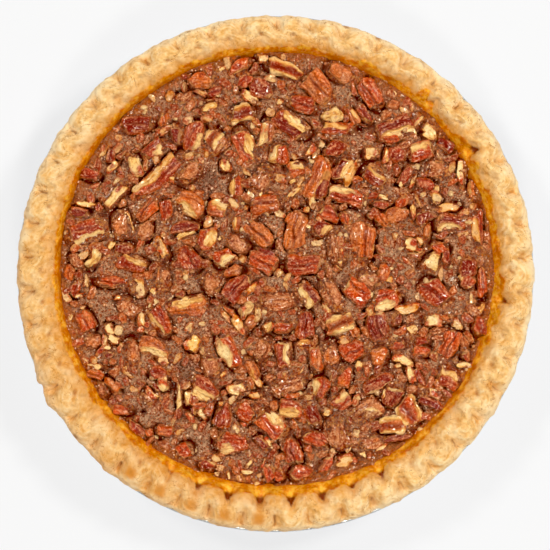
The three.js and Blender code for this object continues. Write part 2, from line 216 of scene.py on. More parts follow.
def tin_shape():
    """Points and faces of the tin: up its outer face, over the roll and down its inner face."""
    columns = TIN_PLEATS * COLUMNS_PER_PLEAT
    angle = np.linspace(0, 2 * math.pi, columns, endpoint=False)
    circle = np.stack([np.cos(angle), np.sin(angle), 0 * angle], axis=1)
    outside = TIN_BASE + [(91, 0.0), (92.2, 0.8)]
    outside += [(92.6 + TIN_WALL_RUN * t, 1.2 + TIN_WALL_RISE * t) for t in np.linspace(0.04, 1, 12)]
    outside += [(111.6, 29.3), (114, TIN_FLANGE_HEIGHT), (118.5, TIN_FLANGE_HEIGHT)]
    roll_radius, roll_height = TIN_RADIUS - TIN_ROLL, TIN_FLANGE_HEIGHT + 0.3
    roll = [(roll_radius + TIN_ROLL * math.cos(a), roll_height + TIN_ROLL * math.sin(a))
            for a in map(math.radians, range(-150, 181, 30))]
    flange_inside = [(118.5, TIN_FLANGE_HEIGHT), (114, TIN_FLANGE_HEIGHT), (111.4, 29.3)]
    inside = [(r, z + TIN_FOIL) for r, z in flange_inside]
    inside += [(92.4 + TIN_WALL_RUN * t, 1.4 + TIN_WALL_RISE * t) for t in np.linspace(1, 0.04, 12)]
    inside += [(91.8, 1.0), (90.8, TIN_FOIL)] + [(r, z + TIN_FOIL) for r, z in reversed(TIN_BASE)]
    profile = outside + roll + inside
    wander = lumps(circle * 100, 22.0, 3, 2)
    fold = np.abs(((angle * TIN_PLEATS / (2 * math.pi) + 0.9 * wander) % 1) * 2 - 1)
    depth = 0.35 + 0.35 * lumps(circle * 100, 9.0, 4)
    rows = []
    for radius, z in profile:
        climb = smooth_step(3, 14, z) * (1 - 0.75 * smooth_step(28, 29.4, z)) * (radius < 119)
        pleat = climb * (0.9 + depth) * (1 - fold ** 1.6)
        rows.append(circle * (radius - pleat)[:, None] + [0, 0, z])
    return np.concatenate(rows), grid_faces(len(profile), columns)


points, faces = tin_shape()
tin = make_piece("foil_tin_pleated", points, faces[:, ::-1], tin_material())
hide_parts("foil_tin")

# ---- Pastry shell --------------------------------------------------------------------------------
# Short pastry rolled out, laid in the tin and trimmed at its edge. The rim is fluted by hand: pinched
# between finger and thumb into lobes outside and notches inside. Syrup has boiled up its inner face.

RING_CENTRE = np.array([0.35, 2.44])
FLUTES = 46
FLUTE_STEP = 2 * math.pi / FLUTES
FIRST_CREASE = math.radians(-90.2)
PASTRY_COLUMNS = FLUTES * 28
PASTRY_ROWS = 77
PASTRY_EDGE = 121.0
NOTCH_HEAD = 110.6
LOBE_HEART = 113.8
TOAST_RADIUS = 115.6
SYRUP_LINE = 104.9

# Radius and height across the rim at a crease, halfway, and at a notch, from under the custard
# outwards. They swing between the three round each flute.
PASTRY_SECTIONS = [
    [(99.0, 26.4), (99.0, 26.4), (99.0, 26.4)],
    [(101.6, 29.3), (101.6, 29.3), (101.6, 29.3)],
    [(102.9, 31.4), (103.0, 31.4), (103.2, 31.2)],
    [(104.4, 34.6), (104.9, 34.4), (105.7, 33.5)],
    [(106.2, 37.2), (107.4, 37.0), (109.2, 35.7)],
    [(109.2, 38.8), (110.8, 39.0), (112.4, 38.3)],
    [(112.2, 37.9), (114.0, 39.0), (115.4, 38.8)],
    [(115.2, 36.5), (117.0, 38.3), (117.8, 38.3)],
    [(118.4, 35.2), (119.5, 36.9), (119.9, 37.1)],
    [(120.4, 34.0), (120.9, 35.0), (121.0, 35.2)],
    [(121.0, 32.7), (121.5, 33.2), (121.5, 33.4)],
    [(120.6, 31.3), (120.9, 31.3), (121.0, 31.3)],
    [(118.6, 30.8), (118.6, 30.8), (118.6, 30.8)],
]
# How far each of those rows moves with the ring's narrow side, its ragged inner line and its uneven crest.
ROWS_NARROW = [0, 0, 0.5, 1, 1, 0.7, 0.3, 0, 0, 0, 0, 0, 0]
ROWS_RAGGED = [0, 0.6, 1, 0.8, 0.6, 0.3, 0.3, 0.3, 0.2, 0, 0, 0, 0]
ROWS_UNEVEN = [0, 0, 0, 0.2, 0.7, 1, 1, 1, 0.8, 0.5, 0, 0, 0]
# Torn flaps that hang past the edge: direction in degrees, reach and half width.
PASTRY_FLAPS = [(-130, 1.3, 5.0), (-151, 1.9, 7.0), (-156, 0.8, 3.0)]
# Lobes that the oven has toasted, by direction in degrees and strength.
TOASTED_LOBES = [(-94, 1.0), (-102, 1.0), (-110, 0.9), (-118, 1.0), (-126, 1.0), (-133, 0.35),
                 (-60, 0.25), (-27, 0.2), (12, 0.25), (37, 0.2), (76, 0.15), (148, 0.2), (173, 0.25)]
# Notches that syrup has filled and burnt, by direction in degrees and strength.
BURNT_NOTCHES = [(-117.6, 0.5), (-109.8, 0.85), (-101.9, 1.0), (-94.1, 0.95), (-86.3, 1.0), (-78.5, 0.9),
                 (-70.6, 0.7), (-62.8, 0.85), (-8.0, 0.8), (31.1, 1.0), (46.8, 0.6)]
# Where the syrup boiled up farther: direction and half width in degrees, and how far in mm.
SYRUP_PATCHES = [(4, 5, 1.3), (11, 2.2, 1.2), (18, 3.2, 2.1), (33.5, 3.5, 2.8), (27.5, 1.6, 2.2),
                 (49.8, 1.4, 6.4), (56, 3.5, 1.0), (65.8, 2.8, 1.8), (82.3, 2.9, 1.4), (-18, 2.2, 1.4),
                 (-12, 2.6, 2.6), (-4, 2.4, 2.8), (-106, 18, 1.8), (-78, 18, 2.0), (-53, 7, 1.4),
                 (102, 4, 1.1), (114, 3, 0.8), (-128, 6, 1.9), (-142, 6, 1.5), (-160, 14, 0.8)]
# Dark specks of painted shadow under the edge, where it lies over the tin, by direction in degrees.
PASTRY_EDGE_SHADOWS = [74.1, 66.5, -120.4, -141.0]


def between(values, share):
    """Moves through three values as share goes from 0 to 1."""
    a, b, c = values
    return a * (1 - share) * (1 - 2 * share) + 4 * b * share * (1 - share) + c * share * (2 * share - 1)


def curve_rows(controls, count):
    """Points on a smooth curve through control rows, evenly by control number."""
    place = np.linspace(0, len(controls) - 1, count)
    first = np.clip(place.astype(int), 0, len(controls) - 2)
    t = (place - first)[:, None]
    a = controls[np.clip(first - 1, 0, None)]
    b, c = controls[first], controls[first + 1]
    d = controls[np.clip(first + 2, None, len(controls) - 1)]
    return b + 0.5 * t * (c - a + t * (2 * a - 5 * b + 4 * c - d + t * (3 * (b - c) + d - a)))


def apart_from(turn, degrees):
    """Angle between turn and a direction, in radians from -pi to pi."""
    return (turn - math.radians(degrees) + math.pi) % (2 * math.pi) - math.pi


def pastry_shape():
    """Points, faces and marks of the pastry, on a grid of rows across the rim and columns round it."""
    random = np.random.default_rng(8)
    angle = FIRST_CREASE + np.linspace(0, 2 * math.pi, PASTRY_COLUMNS, endpoint=False)
    flute = np.arange(PASTRY_COLUMNS) / (PASTRY_COLUMNS / FLUTES)
    ring = np.stack([np.cos(angle), np.sin(angle), 0 * angle], axis=1) * 100
    drift = random.uniform(-1, 1, (5, FLUTES))
    sway = 0.06 * lumps(ring, 14.0, 21)
    burnt = np.full(PASTRY_COLUMNS, 0.0)
    for degrees, strength in BURNT_NOTCHES:
        flutes_away = np.abs(apart_from(angle, degrees)) / FLUTE_STEP
        burnt = np.maximum(burnt, strength * smooth_step(1.0, 0.35, flutes_away))
    narrow = smooth_step(-0.2, 0.95, np.cos(angle - math.radians(140)))

    # The flutes: each row swings between its three places.
    radii, heights = [], []
    for number, section in enumerate(PASTRY_SECTIONS):
        uneven = lumps(ring + 40, 6.0, 30 + number // 3)
        share = 0.5 - 0.5 * np.cos(2 * math.pi * (flute + sway))
        share = np.clip(0.5 + (share - 0.5) * (1 + 0.2 * uneven), 0, 1)
        wave = 0.4 + 0.6 * burnt if 2 <= number <= 4 else 1.0
        steady = between([s[0] for s in section], 0.25)
        radii.append(steady + (between([s[0] for s in section], share) - steady) * wave)
        heights.append(between([s[1] for s in section], share))
    radius, height = np.array(radii), np.array(heights)
    radius = radius - np.array(ROWS_NARROW)[:, None] * (1.6 * narrow - 0.4)
    radius = radius + np.array(ROWS_RAGGED)[:, None] * 0.9 * lumps(ring, 5.5, 32, 2)
    height = height + np.array(ROWS_UNEVEN)[:, None] * 0.5 * lumps(ring, 15.0, 31, 2)
    radius = curve_rows(radius, PASTRY_ROWS)
    height = curve_rows(height, PASTRY_ROWS)
    turn = np.broadcast_to(angle, radius.shape)
    around = np.broadcast_to(flute, radius.shape)
    which = np.round(around).astype(int) % FLUTES
    notch = np.round(around + 0.5).astype(int) % FLUTES

    # Creases: cuts between the lobes that lean with the hand that pinched them, widest at their inner end.
    inward = 119.5 - radius
    lean = (0.22 * np.cos(turn) + 0.12 * drift[0][which]) * inward + 0.03 * drift[1][which] * inward ** 2
    from_crease = (around - np.round(around)) * FLUTE_STEP * radius + lean
    width = 0.34 + 0.04 * np.clip(inward, 0, 7)
    inner_end = 114.2 + 0.8 * drift[2][which]
    stroke = np.exp(-(from_crease / width) ** 2) * smooth_step(inner_end - 0.5, inner_end + 0.5, radius)
    stroke *= 1 - smooth_step(117.8, 120.0, radius)
    crease = stroke * (0.75 + 0.4 * np.abs(drift[3][which])) * (0.7 + 0.3 * smooth_step(1.5, 4.5, inward))
    valley = np.exp(-(from_crease / 2.0) ** 2) * smooth_step(111, 114, radius)
    valley = valley * (1 - smooth_step(117.5, 120, radius))
    # Notches: a small pit at the head of each, and a cleft down from it where the syrup got in.
    from_notch = (around + 0.5 - np.round(around + 0.5)) * FLUTE_STEP * radius
    leaning = from_notch + 0.3 * (radius - 109) * np.cos(turn)
    head = np.exp(-((leaning / 1.0) ** 2 + ((radius - NOTCH_HEAD) / 1.1) ** 2)) * (1 - 0.9 * burnt)
    cleft = np.exp(-(leaning / (0.35 + 0.3 * np.clip(111.8 - radius, 0, 8))) ** 2)
    cleft *= smooth_step(104.0, 107.0, radius) * (1 - smooth_step(NOTCH_HEAD, 112.0, radius)) * burnt
    notch_drift = drift[4][notch]
    height = height - 1.1 * crease - 0.9 * valley - (1.0 + 0.4 * notch_drift) * head - 1.2 * cleft
    # The edge: torn flaps, and a length at the front cut short enough to show the tin.
    flap = np.zeros(len(angle))
    for degrees, reach, half_width in PASTRY_FLAPS:
        flap += reach * np.clip(1 - (apart_from(angle, degrees) * PASTRY_EDGE / half_width) ** 2, 0, None)
    edge = smooth_step(118, PASTRY_EDGE, radius)
    open_tin = smooth_step(0.75, 0.95, np.cos(angle - math.radians(-93)))
    radius = radius + edge * (0.35 - 0.6 * open_tin + flap + 0.25 * lumps(ring, 5.0, 41, 2))

    # Fine relief: curled fibres on the lobes, strewn ones inside them, and pits.
    share = np.clip((117 - radius) / 8, 0, 1)
    points = np.stack([radius * np.cos(turn) + share * RING_CENTRE[0],
                       radius * np.sin(turn) + share * RING_CENTRE[1], height], axis=2)
    across = np.roll(points, -1, axis=1) - np.roll(points, 1, axis=1)
    out = np.gradient(points, axis=0)
    normal = np.cross(across, out)
    normal /= -np.linalg.norm(normal, axis=2, keepdims=True)
    flat = points.reshape(-1, 3)
    lobe = np.hypot(from_notch, (radius - LOBE_HEART) * 1.1).ravel() + 0.6 * lumps(flat, 4.0, 50)
    relief_height = 0.4 * lumps(flat, 4.5, 51, 2) + 0.22 * lumps(flat, 1.6, 52, 2)
    swirl = 1.3 * lumps(flat, 2.6, 61)
    squeezed = 0.35 * from_notch.ravel()
    curl = np.stack([lobe * 1.4 + swirl, squeezed, 0 * lobe], axis=1) + 9 * notch.reshape(-1, 1)
    slant = (0.9 * drift[0][notch] * from_notch + radius).ravel()
    strewn = np.stack([slant + 1.5 * swirl, squeezed, 0 * slant], axis=1) + 5 * notch.reshape(-1, 1)
    outer = smooth_step(112.0, 116.0, radius).ravel()
    fibres = outer * lumps(curl, 1.2, 53, 2) + (1 - outer) * lumps(strewn, 1.2, 62, 2)
    relief_height += 0.28 * smooth_step(106, 109, radius).ravel() * fibres
    pits = smooth_step(0.4, 0.6, lumps(flat, 1.6, 54))
    relief_height -= 0.25 * pits
    top = smooth_step(103, 105, radius).ravel()
    flat = flat + normal.reshape(-1, 3) * (relief_height * top)[:, None]

    # Syrup: how far out it has soaked, and where it has browned.
    soaked = SYRUP_LINE + 1.5 * lumps(ring, 4.0, 55, 3) - 1.0 * narrow
    soaked = soaked + 0.4 * np.cos(angle + math.radians(75))
    for degrees, half_width, reach in SYRUP_PATCHES:
        apart = np.degrees(apart_from(angle, degrees)) / half_width
        soaked = np.maximum(soaked, 104.6 + reach * np.exp(-apart ** 4) + 0.6 * lumps(ring, 2.5, 57, 2))
    soaked = soaked + (110.8 - soaked) * burnt * np.exp(-(np.abs(leaning) / 2.1) ** 1.8)
    short_of = soaked - radius + 0.7 * lumps(flat, 1.9, 59, 2).reshape(radius.shape)
    short_of += 0.35 * lumps(flat, 0.8, 65).reshape(radius.shape)
    amber = smooth_step(-0.6, 0.5, short_of).ravel()
    stain = smooth_step(-6.5, 0.5, short_of.ravel() + 1.6 * lumps(flat, 3.0, 64, 2))
    brown = smooth_step(1.9, 0.2, np.abs(short_of - 0.8)).ravel()
    brown = brown * smooth_step(-0.25, 0.35, lumps(flat, 3.5, 58, 2))
    brown = np.maximum(brown, smooth_step(103.7, 102.4, radius + 0.8 * lumps(ring, 2.2, 63, 2)).ravel())
    tip = burnt * smooth_step(4.2, 1.6, short_of) * np.exp(-(leaning / 1.9) ** 2)
    tip = tip * smooth_step(106.5, 108.5, radius)
    # Oven marks: scorched notches and toasted lobes. Besides them, painted shadow under the edge over the
    # tin, painted shade in the valleys between the lobes, and a browner lower left.
    scorch = np.clip(head * (0.75 + 0.25 * notch_drift), 0, 1).ravel()
    # Painted shadow under the edge, added to the crease mark's colour only.
    for degrees in PASTRY_EDGE_SHADOWS:
        sideways = apart_from(turn, degrees) * radius
        edge_shadow = np.exp(-((sideways / 1.5) ** 4 + ((radius - PASTRY_EDGE) / 0.7) ** 2))
        crease = np.maximum(crease, edge_shadow)
    toast_and_valley_shade = np.zeros(radius.shape)
    for degrees, strength in TOASTED_LOBES:
        sideways = apart_from(turn, degrees) * radius
        toast_and_valley_shade += 0.85 * strength * np.exp(-((sideways / 3.0) ** 4 + ((radius - TOAST_RADIUS) / 2.2) ** 4))
    lower_left = smooth_step(0.2, 0.95, np.cos(turn - math.radians(-138)))
    # The valley term is painted shade between the lobes; the lower left is only made browner, here and in
    # the stain.
    toast_and_valley_shade += 0.15 * lower_left * smooth_step(118.8, 121.2, radius) + 0.1 * lower_left + 0.15 * valley
    toast_and_valley_shade = toast_and_valley_shade.ravel() + 0.2 * lumps(flat, 9.0, 56, 2)
    pale = 0.7 * smooth_step(117.0, 120.5, radius).ravel() + 0.8 * lumps(flat, 5.0, 60, 2)
    marks = {"amber": amber, "brown": brown * amber, "tip": np.clip(1.9 * tip, 0, 1).ravel(),
             "scorch": scorch, "toast_and_valley_shade": np.clip(toast_and_valley_shade, 0, 1), "crease": np.clip(crease.ravel(), 0, 1),
             "pits": pits, "fibres": 0.5 + 0.5 * fibres,
             "stain": np.clip(stain + 0.3 * lower_left.ravel(), 0, 1), "pale": np.clip(pale, 0, 1)}
    return flat, grid_faces(PASTRY_ROWS, PASTRY_COLUMNS), marks


def read_marks(tree, *names):
    """The numbers that the piece carries at each of its points, by name."""
    return {name: add(tree, "ShaderNodeAttribute", attribute_name=name).outputs["Fac"] for name in names}


def pastry_material():
    """Baked short pastry: matt and sandy, cream where it stayed pale, gold to brown where it caught
    the heat, and amber and sticky where the syrup soaked in. Its creases and the valleys between its lobes
    carry painted shade, and its edge over the tin painted shadow."""
    material, tree, shader = new_material("Short pastry, baked")
    mark = read_marks(tree, "amber", "stain", "brown", "tip", "scorch", "toast_and_valley_shade", "crease", "pits",
                      "fibres", "pale")
    patches = speckle(tree, 6.0, detail=4, roughness=0.6)
    grain = speckle(tree, 1.3, detail=3)
    sand = speckle(tree, 0.35, detail=2)
    # Hairline flaws run where a wide wave crosses its middle, in some places only.
    wave = speckle(tree, 7.0, detail=3, roughness=0.6, distortion=0.8)
    line = add(tree, "ShaderNodeMath", {0: wave, 1: 0.5, 2: 0.008}, operation="COMPARE")
    some = add(tree, "ShaderNodeMapRange", {
        "Value": speckle(tree, 5.0, detail=1), "From Min": 0.4, "From Max": 0.55})
    flaws = add(tree, "ShaderNodeMath", {0: line.outputs[0], 1: some.outputs[0]}, operation="MULTIPLY")
    # Crease layer: painted shade in creases, painted shadow under the edge. Toast: also valley shade.
    dough = paint(
        tree, (patches, [(0.34, "E8A44A"), (0.5, "F4C684"), (0.64, "FCE0B2")]),
        (0.36, (grain, [(0.36, "C27824"), (0.5, "F4C684"), (0.62, "FFECCA")])),
        (0.42, (mark["fibres"], [(0.24, "C8802A"), (0.5, "F4C682"), (0.72, "FFEAC4")])),
        (mark["pale"], 0.7, "FCE6C2"), (flaws.outputs[0], 0.7, "A86426"),
        (mark["stain"], 0.5, "DC8A1E"), (mark["toast_and_valley_shade"], 1.0, "D0842A"), (mark["crease"], 0.75, "96561E"),
        (mark["scorch"], 0.9, "A8662A"), (mark["pits"], 0.3, "B57C3C"))
    syrup = paint(
        tree, (speckle(tree, 3.2, detail=3), [(0.36, "D86E02"), (0.5, "F09A10"), (0.62, "FFBE3C")]),
        (0.2, (grain, [(0.36, "C05A04"), (0.5, "F09C18"), (0.62, "FFDA88")])),
        (mark["brown"], 0.7, "C05A02"), (mark["tip"], 0.95, "742404"))
    rough = add(tree, "ShaderNodeMapRange", {"Value": mark["amber"], "To Min": 0.62, "To Max": 0.22})
    feed(tree, shader, {
        "Base Color": paint(tree, dough, (mark["amber"], syrup)), "Roughness": rough.outputs["Result"],
        "Specular IOR Level": 0.25, "Normal": relief(tree, grain, sand, 0.6, 0.5)})
    return material


points, faces, marks = pastry_shape()
pastry = make_piece("pastry_shell_fluted", points, faces, pastry_material(), marks)
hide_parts("crust")

# ---- Pecans --------------------------------------------------------------------------------------
# Pecan halves broken into pieces, stirred into the custard and glazed by it. Their skin is red-brown
# with furrows along it, and a broken face is cream. They float up and lie half sunk in the custard.

FILL_RADIUS = 102.5
FILL_HEIGHT = 30.6
FILL_DOME = 0.4
THICKEST_PECAN = 3.5
BREAK_SOFTNESS = 0.15
# Place, length, width, direction of the length in degrees, kind and tone. A split piece's broken
# face is on the left of that direction. These lie in the pockets of the CAD custard, in its order.
# Kinds: H half, P split, S skin side up, C cream face up, K curl, B inner side up.
# Tones: r red-brown, o orange-brown, b bright red, m maroon, c coated in custard.
LARGE_PECANS = [
    (-54.5, 47.5, 30, 8.5, 43, "P", "r"), (-89, 19.5, 21, 11, 194, "P", "r"),
    (-41, 33.5, 17, 10, 150, "P", "o"), (20, 88, 17, 10.5, 310, "H", "o"),
    (45, 85, 17, 8.5, 305, "H", "b"), (7.5, 70.5, 20, 9.5, 330, "P", "m"),
    (57.5, 69, 21, 10.5, 198, "P", "m"), (-14, 61, 19, 8.5, 298, "P", "b"),
    (-38.2, 64.8, 15.5, 9.5, 255, "P", "r"), (19.5, 44, 24, 8.5, 245, "P", "o"),
    (33, 37, 20, 7.5, 345, "P", "r"), (32, 49.5, 14, 8, 242, "P", "m"),
    (10, 20.5, 19.5, 9.5, 80, "H", "o"), (14, 4.8, 19, 9, 2, "H", "r"), (29, 12.5, 16, 9, 100, "H", "c"),
    (41.5, 15.5, 22, 10.5, 86, "H", "o"), (-4.5, 32.8, 16, 8.5, 8, "H", "o"),
    (-8, 19, 17, 8, 318, "H", "o"), (-6, 6, 15, 9, 332, "H", "b"), (-40.8, 7, 14, 9, 308, "H", "r"),
    (-18, -6.5, 18, 9, 48, "H", "r"), (-41, -14.8, 20, 9, 8, "P", "o"),
    (-30.8, -4.3, 12.5, 8, 302, "S", "c"), (-77.5, -4, 15.5, 5.5, 358, "S", "b"),
    (-54.5, -22, 17, 8.5, 120, "P", "r"), (-57.5, -35, 16, 8, 152, "P", "o"),
    (-22, -36.5, 18, 8.5, 118, "P", "o"), (-5.5, -36, 13.5, 8, 62, "H", "c"),
    (15, -9.5, 13.5, 8.5, 128, "P", "m"), (38.5, -7, 15, 11, 330, "S", "b"),
    (14.1, -24, 14.5, 8, 92, "H", "r"), (31, -23.5, 15, 9, 22, "B", "o"),
    (37, -36, 13, 9.5, 25, "H", "b"), (52.8, -12, 14, 9, 197, "P", "b"),
    (48.5, -25.5, 15, 9.5, 290, "H", "m"), (75.5, -8.8, 17, 10.5, 322, "H", "r"),
    (82.3, -32.8, 15.5, 7.5, 62, "H", "o"), (63, -65.2, 14, 12, 295, "B", "b"),
    (-34, -54.5, 15, 9.5, 150, "P", "m"), (-1, -70.5, 17, 11.5, 310, "P", "b"),
    (-21, -80, 16.5, 9, 177, "P", "r"), (-25, -67, 13, 8, 75, "S", "r"),
    (82, 23.5, 15.5, 8.5, 175, "P", "m"), (20.2, -53.5, 11, 9.5, 92, "P", "r"),
    (43, -64.5, 15.5, 10, 208, "P", "c"), (8.2, -84.3, 14, 8.5, 285, "H", "r"),
    (-16.1, 75.6, 13.5, 8.5, 12, "B", "r"), (48.5, -51.5, 15, 8, 35, "S", "m"),
    (-60.2, 31.2, 14.5, 7, 48, "H", "o"), (19, -40.1, 14.5, 6.5, 98, "S", "o"),
]
